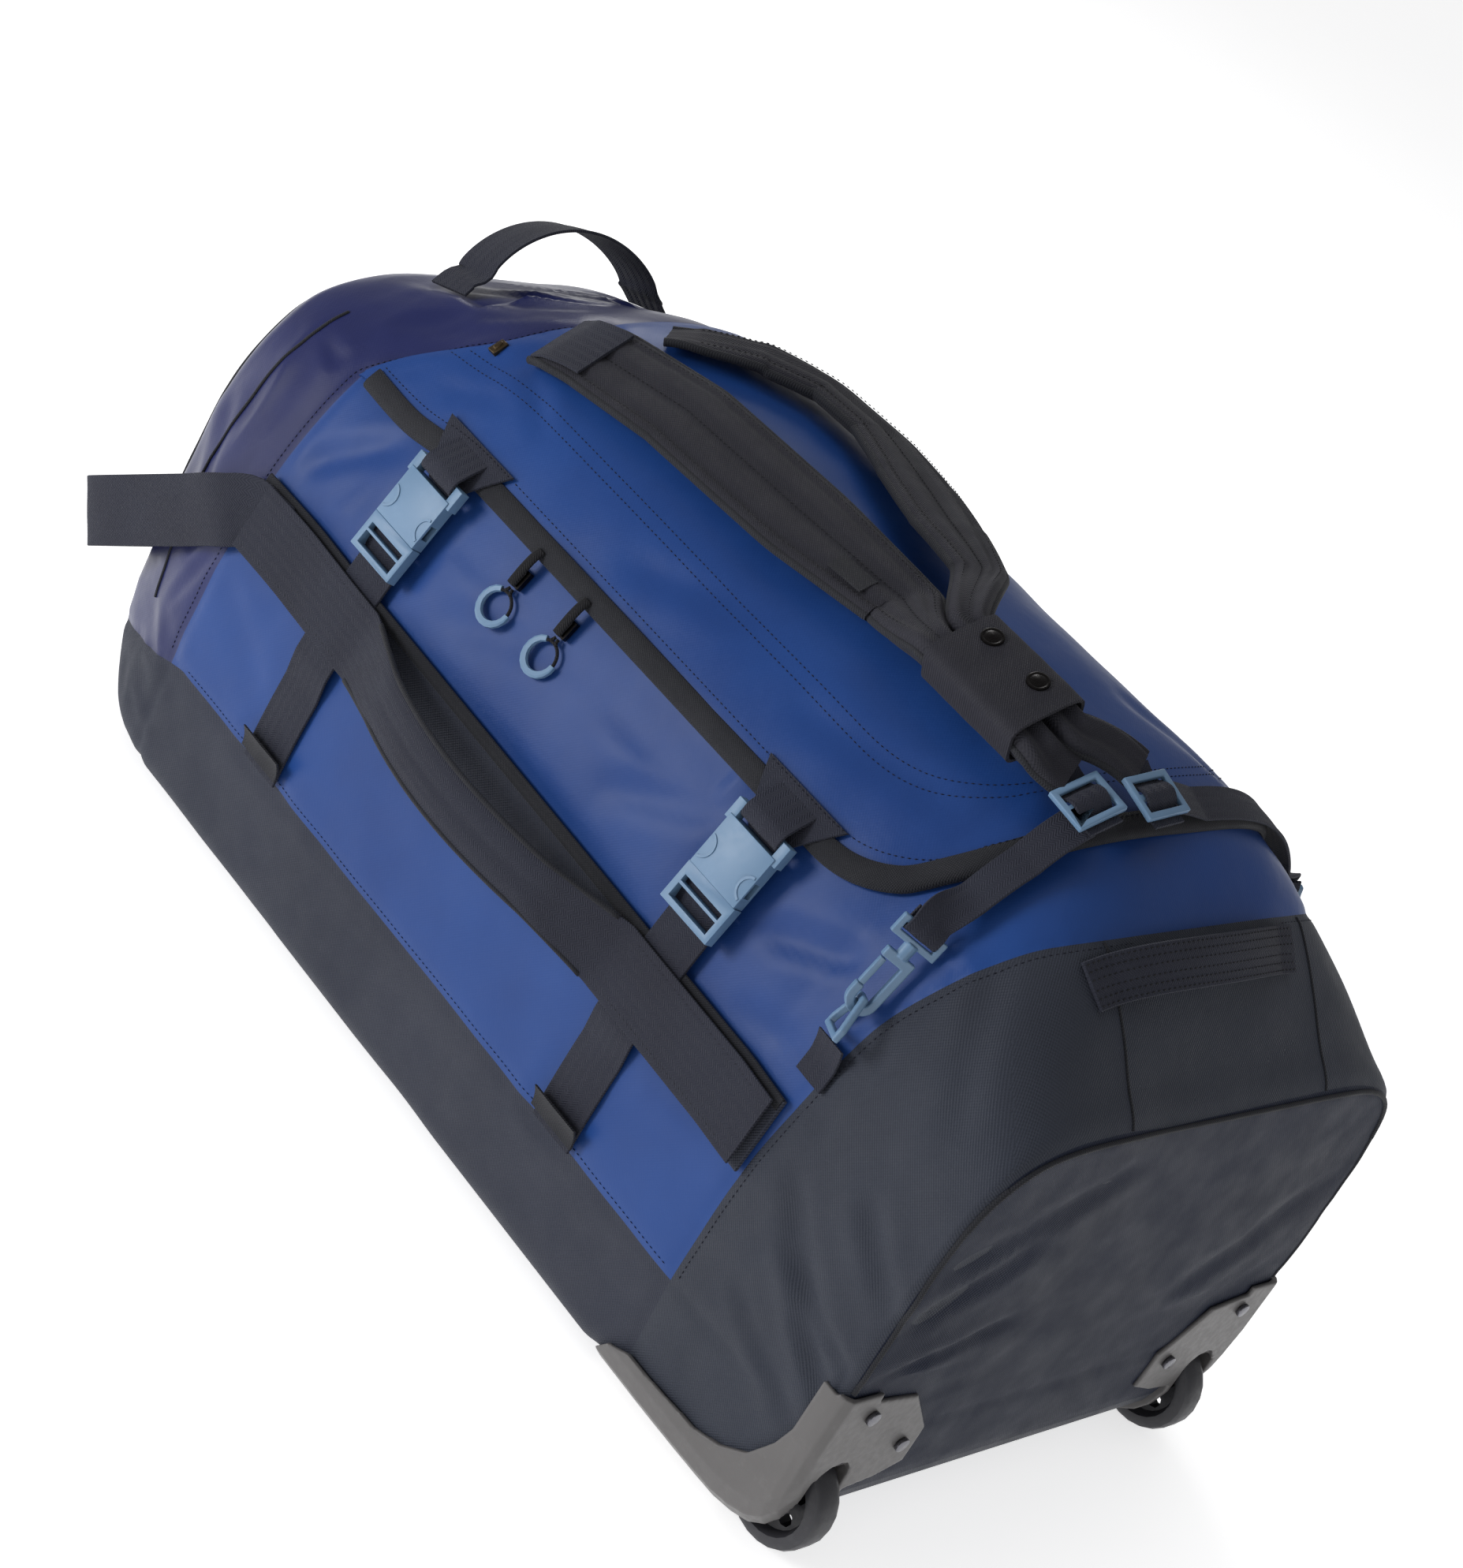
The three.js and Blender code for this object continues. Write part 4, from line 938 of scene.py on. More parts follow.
def well(p):
    """Positive outside the wheel housings."""
    radial = np.hypot(p[:, 0] - WHEEL_X, p[:, 2] - WHEEL_RADIUS) - HOUSE_RADIUS - 0.6
    y = np.abs(p[:, 1])
    return np.maximum(radial, np.maximum(HOUSE_INNER_Y - 0.6 - y, y - HOUSE_OUTER_Y - 0.6))


whole = build_skin()
shape_fabric(whole)
MOUTH = lid_outline(ZIP_INSET)


def mouth(p):
    """Positive outside the zipped opening."""
    inside = plan_distance(p, MOUTH)
    far = HINGE_X + ZIP_INSET + 8
    return np.where(p[:, 2] > 250, -np.minimum(inside, p[:, 0] - far), 50.0)


def carve(*cuts):
    """Copy of the whole skin with everything outside the given cuts taken away."""
    bm = whole.copy()
    for function, positive in cuts:
        cut_away(bm, function, positive)
    return bm


def half_of(side):
    """Positive on one side of the bag's middle plane."""
    return lambda p: side * p[:, 1] + 1e-6


GUSSET, ABOVE_GUSSET = (gusset_side, True), (gusset_side, False)
BOOT, BEFORE_BOOT = (boot_side, True), (boot_side, False)
SIDE_CUTS = (ABOVE_GUSSET, BEFORE_BOOT, (cap_side, False), (mouth, True))
# Panel, its cuts, its material, the CAD node it stands for and its slot.
PANELS = [
    ("gusset_cloth", (GUSSET, BEFORE_BOOT), CHARCOAL, "bottom_gusset", "charcoal_shell"),
    ("side_cloth_left", (*SIDE_CUTS, (half_of(-1), True)), BLUE, "side_panel_left", "blue_shell"),
    ("side_cloth_right", (*SIDE_CUTS, (half_of(1), True)), BLUE, "side_panel_right", "blue_shell"),
    ("cap_cloth", ((cap_side, True), ABOVE_GUSSET), NAVY, "end_cap", "navy_shell"),
    ("boot_cloth", (BOOT, (end_face, False), (well, True)), BOOT_CLOTH, "wheel_boot", "charcoal_shell"),
    ("end_cloth", ((end_face, True), (well, True)), END_CLOTH, "wheel_boot", "charcoal_shell"),
]
panels = {}
for name, cuts, material, node, slot in PANELS:
    panels[name] = skin_piece(name, carve(*cuts), material, lining=LINING)
for name, _, _, node, slot in PANELS:
    ride(panels[name], "shell", node, slot=slot)

# ------------------------------------------------------------------ lid


def on_lid(piece, *nodes, slot="webbing"):
    """Bakes the placement of a piece on the lid into its mesh and hides the CAD parts it stands for."""
    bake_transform(piece)
    if nodes:
        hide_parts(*nodes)
    return piece


LID_EDGE = lid_outline(0.0)
lid_sheet = whole.copy()
whole.free()
cut_away(lid_sheet, lambda p: np.where(p[:, 2] > 250, plan_distance(p, LID_EDGE) - 1.0, -50.0))
cut_away(lid_sheet, lambda p: p[:, 0] - CAP_SEAM(p[:, 2]) - 0.5)
for v in lid_sheet.verts:
    v.co += v.normal * (GAP + LID_THICK - 0.3)
lid_cloth = skin_piece("lid_cloth", lid_sheet, BLUE, thick=2.6, lining=LINING)
on_lid(lid_cloth, "lid_panel", slot="blue_shell")


def edge_path(inset=0.0, lift=0.0, x_from=-292.0):
    """Frames along the lid's edge: across points inwards over the lid."""
    outline = lid_outline(inset)
    keys = []
    for i, (x, y) in enumerate(outline):
        z = top_at(x, y)
        if x < max(x_from, CAP_SEAM(z) + 1.5):
            continue
        f = top_frame(x, y, lift)
        before, after = outline[max(i - 1, 0)], outline[min(i + 1, len(outline) - 1)]
        direction = np.array([after[0] - before[0], after[1] - before[1]])
        inward = np.array([-direction[1], direction[0], 0.0])
        inward = inward - f["n"] * np.dot(inward, f["n"])
        keys.append({"p": f["p"], "n": f["n"], "across": unit(inward)})
    return keys


binding_keys = smooth_frames(edge_path(), 520)
binding_wave = [noise.noise(Vector((f["s"] / 60.0, 3.1, 0))) for f in binding_keys]
for f, wave in zip(binding_keys, binding_wave):
    f["p"] = f["p"] + f["n"] * (GAP + 0.9 + 0.5 * wave)


def binding_profile(i):
    rise = LID_THICK + 0.6
    wave = binding_wave[i]
    top = [(12.5, rise - 0.6), (11.8, rise + 0.5), (6, rise + 0.9 + 0.5 * wave), (1.2, rise + 0.8),
           (-2.6, rise - 0.4)]
    return top + [(-4.0, 1.6), (-3.4, -0.4), (0, -0.8), (6, -0.6), (11, -0.4), (11.0, 0.4)]


binding = sweep("binding", binding_keys, binding_profile, TRIM, sharp=60)

BUCKLE_HEIGHT, BUCKLE_LIFT = 291.0, 10.4


def buckle_point(x, side, v, n):
    """Point and frame in a buckle's own axes: v up the strap, n outwards."""
    f = side_frame(x, BUCKLE_HEIGHT, BUCKLE_LIFT, side)
    return {"p": f["p"] + f["v"] * v + f["n"] * n, "n": f["n"], "across": f["u"]}


def buckle_loop(x, side):
    """Webbing from under the lid's edge, over the socket's bar and back."""
    keys = []
    for z, lift in ((357, 4.6), (351, 8.6)):
        f = side_frame(x, z, lift, side)
        keys.append(key(f))
    bar = [(56, 1.5, 0), (51.5, 4.3, 0.1), (47.2, 4.7, 0.2), (43.6, 4.0, 0.9), (41.9, 0.8, 1.6),
           (43.2, -3.2, 2.6), (48, -4.6, 3.0), (56, -6.5, 3.0)]
    for v, n, turn in bar:
        point = buckle_point(x, side, v, n)
        up = side_frame(x, BUCKLE_HEIGHT, BUCKLE_LIFT, side)["v"]
        point["n"] = unit(point["n"] * math.cos(turn) - up * math.sin(turn))
        keys.append(point)
    return sweep("buckle_loop", smooth_frames(keys, 60), strap_profile(35), STRAP)


def folded_tab(x, side):
    """Webbing folded to a triangle where it leaves the lid's edge."""
    rows = []
    for t in np.linspace(0, 1, 16):
        z = 360 - 34 * t
        f = side_frame(x, z, 5.6 + 1.6 * t + 1.2 * math.sin(math.pi * t), side)
        rows.append({"p": f["p"], "n": f["n"], "across": f["u"], "width": 76 - 50 * t})
    return sweep("folded_tab", rows, lambda i: strap_profile(rows[i]["width"], 2.4), STRAP)


tab_pieces = []
for x in (-STRAP_X, STRAP_X):
    for side in (-1, 1):
        tab_pieces += [buckle_loop(x, side), folded_tab(x, side)]
lid_trim = merge("lid_trim", [binding] + tab_pieces)
on_lid(lid_trim, "lid_binding")

seam_rows = []
for inset, lift in ((33.0, 0.25), (39.0, 0.25), (8.8, 1.9)):
    keys = smooth_frames(edge_path(inset, GAP + LID_THICK + lift), 400)
    seam_rows.append(([k["p"] for k in keys], [k["n"] for k in keys]))


def settle(rows, targets, lift=0.2):
    """Drops rows of points onto the displaced cloth below them."""
    trees = [BVHTree.FromPolygons([v.co for v in piece.data.vertices],
                                  [p.vertices for p in piece.data.polygons]) for piece in targets]
    settled = []
    for points, normals in rows:
        placed, faced = [], []
        for p, n in zip(points, normals):
            best = None
            for tree in trees:
                origin = Vector(p) * MM + Vector(n) * 0.015
                hit, normal, _, distance = tree.ray_cast(origin, -Vector(n), 0.04)
                if hit is not None and (best is None or distance < best[2]):
                    best = (hit, normal, distance)
            if best is None:
                continue
            placed.append(np.array(best[0]) / MM + np.array(best[1]) * lift)
            faced.append(np.array(best[1]))
        if len(placed) > 2:
            settled.append((placed, faced))
    return settled


lid_thread = stitches("lid_thread", settle(seam_rows, [lid_cloth, lid_trim]), THREAD)
on_lid(lid_thread, slot="blue_shell")

# ------------------------------------------------------------------ side bands, handles, compression straps


def band_middle(x):
    """Height of the side band's middle line."""
    return 218 - 0.025 * x


def flat_band(name, side, offset, width, lift, thick, x0, x1, material):
    keys = []
    for x in np.linspace(x0, x1, 60):
        f = side_frame(x, band_middle(x) + offset, lift, side)
        keys.append(key(f, "v"))
    return sweep(name, keys, strap_profile(width, thick), material)


grey_rows = []
for side_name, side in SIDES:
    base = flat_band("band_base", side, 0, 55, GAP + BAND_THICK / 2, BAND_THICK, -299, 302, CHARCOAL)
    lip = flat_band("band_lip", side, 23.5, 9, GAP + BAND_THICK + 0.4, 2.2, -298, 301, TRIM)
    band = merge(f"band_cloth_{side_name}", [base, lip])
    ride(band, "shell", f"side_band_{side_name}", slot="charcoal_shell")

    keys = []
    for x in np.unique(np.concatenate([
            np.linspace(-288, -150, 22), np.linspace(-150, 150, 61), np.linspace(150, 298, 22)])):
        rise = max(0.0, 1 - (x / HANDLE_REACH) ** 2)
        f = side_frame(x, band_middle(x), HANDLE_LIFT + HANDLE_ARCH * rise ** 1.3, side)
        padded = min(1.0, rise * 1.6)
        keys.append({"p": f["p"], "n": f["n"], "across": f["v"], "rise": rise,
                     "width": 50 - 12 * padded, "thick": WEBBING + 8.5 * padded * min(1, rise * 1.4)})

    def handle_profile(i, keys=keys):
        k = keys[i]
        width, thick = k["width"] / 2, k["thick"] / 2
        soft = (k["thick"] - WEBBING) / 8.5
        points = []
        exponent = 2 / (2 + 6 * (1 - soft))
        for t in turns(28):
            a = width * signed_power(math.cos(t), exponent)
            b = thick * signed_power(math.sin(t), exponent)
            if b > 0:
                b -= soft * 1.6 * math.exp(-(a / 3.0) ** 2)
            points.append((a, b))
        return points

    grip = sweep("grip", keys, handle_profile, STRAP, sharp=60)
    pipings = []
    for edge in (-1, 1):
        cord_keys = [{"p": k["p"] + k["across"] * edge * (k["width"] / 2 - 1.0) + k["n"] * k["thick"] * 0.12,
                      "n": k["n"], "across": k["across"]} for k in keys if k["rise"] > 0.1]
        pipings.append(sweep("piping", cord_keys, round_section(2.0, 8), TRIM, sharp=80))
    handle = merge(f"grab_grip_{side_name}", [grip] + pipings)
    ride(handle, "shell", f"grab_handle_{side_name}")
    for sign in (-1, 1):
        for offset in (-19.0, 19.0):
            row = []
            for x in np.linspace(160, 284, 30):
                f = side_frame(sign * x, band_middle(sign * x) + offset, HANDLE_LIFT + 1.2, side)
                row.append((f["p"], f["n"]))
            grey_rows.append(([r[0] for r in row], [r[1] for r in row]))

    for end_name, x in (("far", -STRAP_X), ("near", STRAP_X)):
        lifts = [[96, 1.5], [165, 1.5], [184, 5], [262, 5], [284, 8.5]]
        keys = []
        for z in np.linspace(96, 283, 60):
            f = side_frame(x, z, between(lifts, z)[0], side)
            keys.append(key(f))
        strap = sweep("strap_run", keys, strap_profile(STRAP_WIDE), STRAP)
        # elastic keeper with a curled end, low on the strap
        keeper_keys = []
        for z in np.linspace(102, 118, 10):
            f = side_frame(x, z, 1.5 + WEBBING + 1.0 + 6.0 * ((z - 102) / 16) ** 2, side)
            keeper_keys.append(key(f))
        keeper = sweep("keeper", keeper_keys, strap_profile(STRAP_WIDE + 5, 2.0), TRIM)
        run = merge(f"strap_run_{end_name}_{side_name}", [strap, keeper])
        ride(run, "shell", f"side_strap_{end_name}_{side_name}")

# ------------------------------------------------------------------ haul, tow and boot handles

haul_base = top_frame(HAUL_X, 0)
haul_foot = np.dot(top_frame(HAUL_X, HAUL_HALF)["p"] - haul_base["p"], haul_base["n"])
haul_keys = []
for y in np.linspace(-HAUL_HALF, HAUL_HALF, 41):
    t = y / HAUL_HALF
    height = haul_foot + 12 + (HAUL_RISE - haul_foot - 12) * (1 - t * t) ** 0.75
    slope = t * 1.1
    n = unit(haul_base["n"] * math.cos(slope) + np.array([0, math.sin(slope), 0]))
    p = haul_base["p"] + haul_base["n"] * height
    p[1] = y
    haul_keys.append({"p": p, "n": n, "across": haul_base["u"]})


def haul_root(side):
    """The sewn foot of the haul handle, which lies on the cap."""
    roots = []
    for y in (HAUL_HALF + 16, HAUL_HALF + 6):
        f = top_frame(HAUL_X - 2, side * y, 2.2 + (6 if y < HAUL_HALF + 10 else 0))
        roots.append(key(f))
    return roots


far_root, near_root = haul_root(-1), haul_root(1)
haul_path = smooth_frames(far_root + haul_keys + near_root[::-1], 90)
haul_strap = sweep("haul_strap", haul_path, strap_profile(STRAP_WIDE), STRAP)
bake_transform(haul_strap)
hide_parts("haul_handle")

tow_out = np.array([-math.cos(TOW_DROOP), 0, -math.sin(TOW_DROOP)])
tow_across = np.array([math.sin(TOW_DROOP), 0, -math.cos(TOW_DROOP)])


def tow_point(reach, y, angle):
    outward = np.array([0, math.copysign(1, y) * math.cos(angle), 0])
    return {"p": np.array([TOW_X, y, TOW_Z]) + tow_out * reach,
            "n": unit(tow_out * math.sin(angle) + outward), "across": tow_across}


def tow_side(side):
    start = []
    for x in (-262, -278, -292):
        f = side_frame(x, TOW_Z + 0.02 * x + 8, 6.0, side)
        start.append({"p": f["p"], "n": f["n"], "across": -f["v"]})
    legs = [tow_point(r, side * (TOW_LEG - 0.6), 0) for r in (14, 60, 110)]
    corner = [tow_point(TOW_REACH - TOW_CORNER + TOW_CORNER * math.sin(a),
                        side * (TOW_LEG - TOW_CORNER + TOW_CORNER * math.cos(a)), a)
              for a in np.linspace(0, math.pi / 2, 7)]
    return start + legs + corner


tow_strap = sweep("tow_strap", smooth_frames(tow_side(-1) + tow_side(1)[::-1], 200), strap_profile(50), STRAP)
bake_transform(tow_strap)
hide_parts("tow_handle")

lift_keys = []
for y in np.linspace(-LIFT_HALF, LIFT_HALF, 61):
    f = top_frame(LIFT_X, LIFT_Y + y, 2 + 12 * max(0, 1 - (y / 82) ** 2))
    lift_keys.append(key(f))
boot_strap = sweep("boot_strap", lift_keys, strap_profile(30, 3.0), STRAP)
ride(boot_strap, "shell", "boot_handle")
for offset in (-12.5, -8, -3, 3, 8, 12.5):
    grey_rows.append(([k["p"] + k["across"] * offset + k["n"] * 1.7 for k in lift_keys],
                      [k["n"] for k in lift_keys]))

# ------------------------------------------------------------------ padded pack straps


def bundled(x):
    def smooth(low, high):
        t = np.clip((x - low) / (high - low), 0, 1)
        return t * t * (3 - 2 * t)
    return smooth(BUNDLE[0], BUNDLE[1]) * (1 - smooth(BUNDLE[2], BUNDLE[3]))


def strap_keys(keys, places):
    frames = []
    for x in places:
        y, lift, width, thick = between(keys, x)
        free = top_frame(x, y, LID_LIFT + lift)
        held = top_frame(x, WRAP_Y, LID_LIFT + lift)
        held["p"] = held["p"] + held["v"] * (y - WRAP_Y)
        share = bundled(x)
        p, n, across = (free[k] * (1 - share) + held[k] * share for k in "pnv")
        frames.append({"p": p, "n": unit(n), "across": unit(across), "width": width, "thick": thick})
    return frames


LEFT_STRAP = [
    [-212, -100, 2, 50, 2.4], [-196, -99, 6, 56, 10], [-94, -87, 13, 66, 14], [30, -83, 15, 66, 14],
    [118, -79, 17, 50, 14], [166, -95, WRAP_LIFT, 23, 24], [258, -95, WRAP_LIFT, 23, 24],
    [281, -84, 22, 30, 6]]
RIGHT_STRAP = [
    [-180, -43, 2, 36, 2.4], [-166, -31, 6, 36, 9], [-140, 5, 10, 48, 14], [-106, 37, 12, 56, 14],
    [-50, 41, 13, 60, 14], [5, 21, 14, 60, 14], [60, -4, 18, 54, 14], [118, -30, 26, 34, 14],
    [166, -69, WRAP_LIFT, 23, 24],
    [258, -69, WRAP_LIFT, 23, 24], [288, -47, 22, 30, 6]]


def pad_profile(width, thick, groove):
    """Crowned foam section with a sewn channel down the middle of its face."""
    half, deep = width / 2, thick / 2
    points = []
    for t in turns(72):
        a = half * signed_power(math.cos(t), 0.55)
        b = deep * signed_power(math.sin(t), 0.8)
        if b > 0:
            for channel, depth in ((0, 1.0), (half - 9, 0.55), (9 - half, 0.55)):
                b -= groove * depth * math.exp(-((a - channel) / 3.0) ** 2)
        points.append((a, b))
    return points


pad_rows = []
for side_name, keys in (("left", LEFT_STRAP), ("right", RIGHT_STRAP)):
    raw = strap_keys(keys, np.arange(keys[0][0], keys[-1][0] + 0.1, 4.0))
    lengths = np.r_[0, np.cumsum([np.linalg.norm(b["p"] - a["p"]) for a, b in zip(raw, raw[1:])])]
    frames = smooth_frames(raw, 170)
    widths = [np.interp(f["s"], lengths, [r["width"] for r in raw]) for f in frames]
    thicks = [np.interp(f["s"], lengths, [r["thick"] for r in raw]) for f in frames]
    kernel = np.ones(9) / 9
    widths = np.convolve(np.pad(widths, 4, mode="edge"), kernel, "valid")
    thicks = np.convolve(np.pad(thicks, 4, mode="edge"), kernel, "valid")
    pad = sweep("pad", frames, lambda i, w=widths, t=thicks: pad_profile(
        w[i], t[i] + 0.7 * noise.noise(Vector((i / 9.0, 0.3, 0))), min(3.2, t[i] * 0.22)), PAD, sharp=75)
    edges = []
    for edge in (-1, 1):
        rim = [{"p": f["p"] + f["across"] * edge * (w / 2 - 0.6), "n": f["n"], "across": f["across"]}
               for f, w in zip(frames, widths)]
        edges.append(sweep("rim", rim, round_section(2.6, 10, 3.0), TRIM, sharp=80))
    if side_name == "left":
        root = [{"p": f["p"] + f["n"] * (t / 2 + 0.9), "n": f["n"], "across": f["across"]}
                for f, t in zip(frames[1:17], thicks[1:17])]
        edges.append(sweep("root_patch", root, strap_profile(50, 2.2), STRAP))
        label = [{"p": f["p"] + f["n"] * (t / 2 - 0.2) - f["across"] * 12, "n": f["n"], "across": f["across"]}
                 for f, t in zip(frames, thicks) if 66 < f["p"][0] < 100]
        edges.append(sweep("blank_label", label, strap_profile(15, 1.6), TRIM))
    strap = merge(f"pad_strap_{side_name}", [pad] + edges)
    on_lid(strap, f"pack_strap_{side_name}")
    for offset in (-1, 0, 1):
        share, sunk = (0.86, 0) if offset else (1, 2.1)
        inner = [(f["p"] + f["across"] * offset * (w / 2 - 5.5) + f["n"] * (t / 2 * share - sunk), f["n"])
                 for f, w, t in zip(frames, widths, thicks)]
        inner = inner[6:-30]
        pad_rows.append(([p for p, _ in inner], [n for _, n in inner]))
pad_thread = stitches("pad_thread", pad_rows, THREAD_GREY, radius=0.45)
on_lid(pad_thread)

wrap_keys = strap_keys([[0, WRAP_Y, WRAP_LIFT, 58, 34]], np.linspace(WRAP_X[0], WRAP_X[1], 30))


def sleeve_profile(i):
    """Outline of the band round the two straps, a little uneven along it."""
    bump = 0.5 * noise.noise(Vector((i / 6.0, 9, 0)))
    half, deep = 28.25 + bump * 0.5, 16.25 + bump
    return [(half * signed_power(math.cos(t), 0.45), deep * signed_power(math.sin(t), 0.45))
            for t in turns(60)]


wrap = sweep("strap_sleeve", wrap_keys, sleeve_profile, PAD, sharp=75, caps=False)
thicken(wrap, 2.4)
snap_profile = [(0, 1.9), (3.2, 1.7), (4.6, 1.1), (5.2, 0.9), (6.4, 1.3), (7.2, 0.9), (7.4, 0)]


def snap_cap(name, f):
    """Domed snap fastener turned about its axis."""
    verts, faces, around = [], [], 28
    for radius, height in snap_profile:
        for t in turns(around):
            out = f["across"] * math.cos(t) + f["along"] * math.sin(t)
            verts.append(f["p"] + f["n"] * height + radius * out)
    for i in range(len(snap_profile) - 1):
        for j in range(around):
            k = (j + 1) % around
            faces.append((i * around + j, (i + 1) * around + j, (i + 1) * around + k, i * around + k))
    return new_piece(name, verts, faces, BLACKENED, [(v[0] * MM, v[1] * MM) for v in verts])


caps = []
for place in (190, 232):
    f = strap_keys([[0, WRAP_Y, WRAP_LIFT, 58, 34]], [place])[0]
    f["along"] = np.cross(f["across"], f["n"])
    f["p"] = f["p"] + f["n"] * 16.6 + f["across"] * 9
    caps.append(snap_cap(f"snap_{place}", f))
wrap = merge("strap_sleeve", [wrap] + caps)
on_lid(wrap, "strap_wrap")

# ------------------------------------------------------------------ thin webbing, hooks, rings and locks

LOCKS = {"left": (297, -86), "right": (304, -47)}
LOCK_LIFT = LID_LIFT + 22
# Along the lock and out from its middle: under the near bar, over the middle one, under the far one.
LOCK_WEAVE = [(-24, -1.5), (-18, -3.0), (-12.5, -3.5), (-8.5, -2.2), (-5, 1.6), (0, 3.5), (5, 1.6),
              (8.5, -2.2), (12.5, -3.5), (19, -3.2)]

HOOK_TILT = math.radians(55)
# Up the hook, out from its face and turn of the webbing, round the hook's top bar.
HOOK_WRAP = [(54, 1.8, 0.0), (49.5, 3.3, 0.1), (46, 3.6, 0.3), (42.8, 2.6, 0.9), (41.2, 0.0, 1.57),
             (42.8, -2.6, 2.4), (47, -3.6, 2.9), (56, -3.2, 3.1)]


def hook_wrap(side):
    """Frames of the webbing from above the hook, through its slot and back up behind."""
    f = side_frame(HOOK_X, HOOK_HEIGHT, HOOK_LIFT, side)
    wide = f["u"] * math.cos(HOOK_TILT) - f["n"] * math.sin(HOOK_TILT)
    face = f["u"] * math.sin(HOOK_TILT) + f["n"] * math.cos(HOOK_TILT)
    return [{"p": f["p"] + f["v"] * v + face * out, "n": face * math.cos(turn) - f["v"] * math.sin(turn),
             "across": wide * -side} for v, out, turn in HOOK_WRAP]


for side_name, keys, ys in (
        ("left", [[-160, 9.5], [-122, 10], [-106, 17], [-92, 22]], np.linspace(-92, -146, 14)),
        ("right", [[-41, 22], [-27, 21], [8, 10], [160, 9.5]], np.linspace(-41, 146, 40))):
    path = []
    for y in ys:
        f = top_frame(HOOK_X, y, between(keys, y)[0])
        path.append(key(f))
    side = -1 if side_name == "left" else 1
    path = smooth_frames(path + hook_wrap(side), 150)
    strand = sweep(f"thin_strap_{side_name}", path, strap_profile(24), STRAP)
    hook = side_frame(HOOK_X, HOOK_HEIGHT, HOOK_LIFT, side)
    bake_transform(strand)
    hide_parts(f"strap_webbing_{side_name}")
    lock = from_node(f"lock_{side_name}", f"ladder_lock_{side_name}", LIGHT_BLUE, 0.9, 3)
    ride(lock, "lid", f"ladder_lock_{side_name}", slot="buckle_plastic")
    f = top_frame(*LOCKS[side_name], LOCK_LIFT)
    woven = [{"p": f["p"] + f["u"] * u + f["n"] * n, "n": f["n"], "across": f["v"]} for u, n in LOCK_WEAVE]
    ride(sweep(f"lock_webbing_{side_name}", smooth_frames(woven, 60), strap_profile(25), STRAP), "lid")
    for name, node, voxel in (("clip_hook", "snap_hook", 0.45), ("loop_ring", "strap_ring", 0.5)):
        node = f"{node}_{side_name}"
        piece = moulded(f"{name}_{side_name}", node, LIGHT_BLUE, voxel, swell=0.35)
        ride(piece, node, node, slot="buckle_plastic")
    gate = from_node(f"gate_{side_name}", f"hook_gate_{side_name}", LIGHT_BLUE, 0.5, 2)
    ride(gate, f"hook_gate_{side_name}", f"hook_gate_{side_name}", slot="buckle_plastic")
    tab_path = []
    for z in np.linspace(256, 284, 12):
        f = side_frame(HOOK_X, z, between([[258, 1.5], [270, 1.8], [278, 5], [284, 9]], z)[0], side)
        tab_path.append(key(f))
    tab = sweep(f"loop_tab_{side_name}", tab_path, strap_profile(24), STRAP)
    ride(tab, "shell", f"ring_tab_{side_name}")

RIDGE_SECTION = [(1.1, -0.6), (0.8, 0.7), (-0.8, 0.7), (-1.1, -0.6)]
for side_name, strap_side in SIDES:
    for end_name in ("far", "near"):
        label = f"{end_name}_{side_name}"
        socket = from_node(f"clip_socket_{label}", f"buckle_socket_{label}", LIGHT_BLUE, 1.5, 3)
        strap_x = -STRAP_X if end_name == "far" else STRAP_X
        f = side_frame(strap_x, BUCKLE_HEIGHT, BUCKLE_LIFT, strap_side)
        ridges = []
        for sign in (-1, 1):
            arc = []
            for t in np.linspace(-1.35, 1.35, 18):
                inward = f["u"] * -sign * math.cos(t) + f["v"] * math.sin(t)
                arc.append({"p": f["p"] + f["u"] * sign * 22.4 + f["v"] * 13.5 + inward * 8.4 + f["n"] * 5.0,
                            "n": f["n"], "across": inward})
            ridges.append(sweep("ridge", arc, RIDGE_SECTION, LIGHT_BLUE, sharp=60))
        socket = merge(f"clip_socket_{label}", [socket] + ridges)
        ride(socket, "lid", f"buckle_socket_{label}", slot="buckle_plastic")
        plug = from_node(f"clip_plug_{label}", f"buckle_plug_{label}", LIGHT_BLUE, 0.8, 3)
        ride(plug, f"buckle_plug_{label}", f"buckle_plug_{label}", slot="buckle_plastic")

PULL_V, PULL_RADIUS = -24.0, 12.0


def pull_arc(f, start, end, radius, count):
    """Frames round a zip pull's ring, in the slider's plane."""
    keys = []
    for t in np.linspace(start, end, count):
        out = f["u"] * math.cos(t) + f["v"] * math.sin(t)
        keys.append({"p": f["p"] + f["v"] * PULL_V + out * radius, "n": f["n"], "across": out})
    return keys


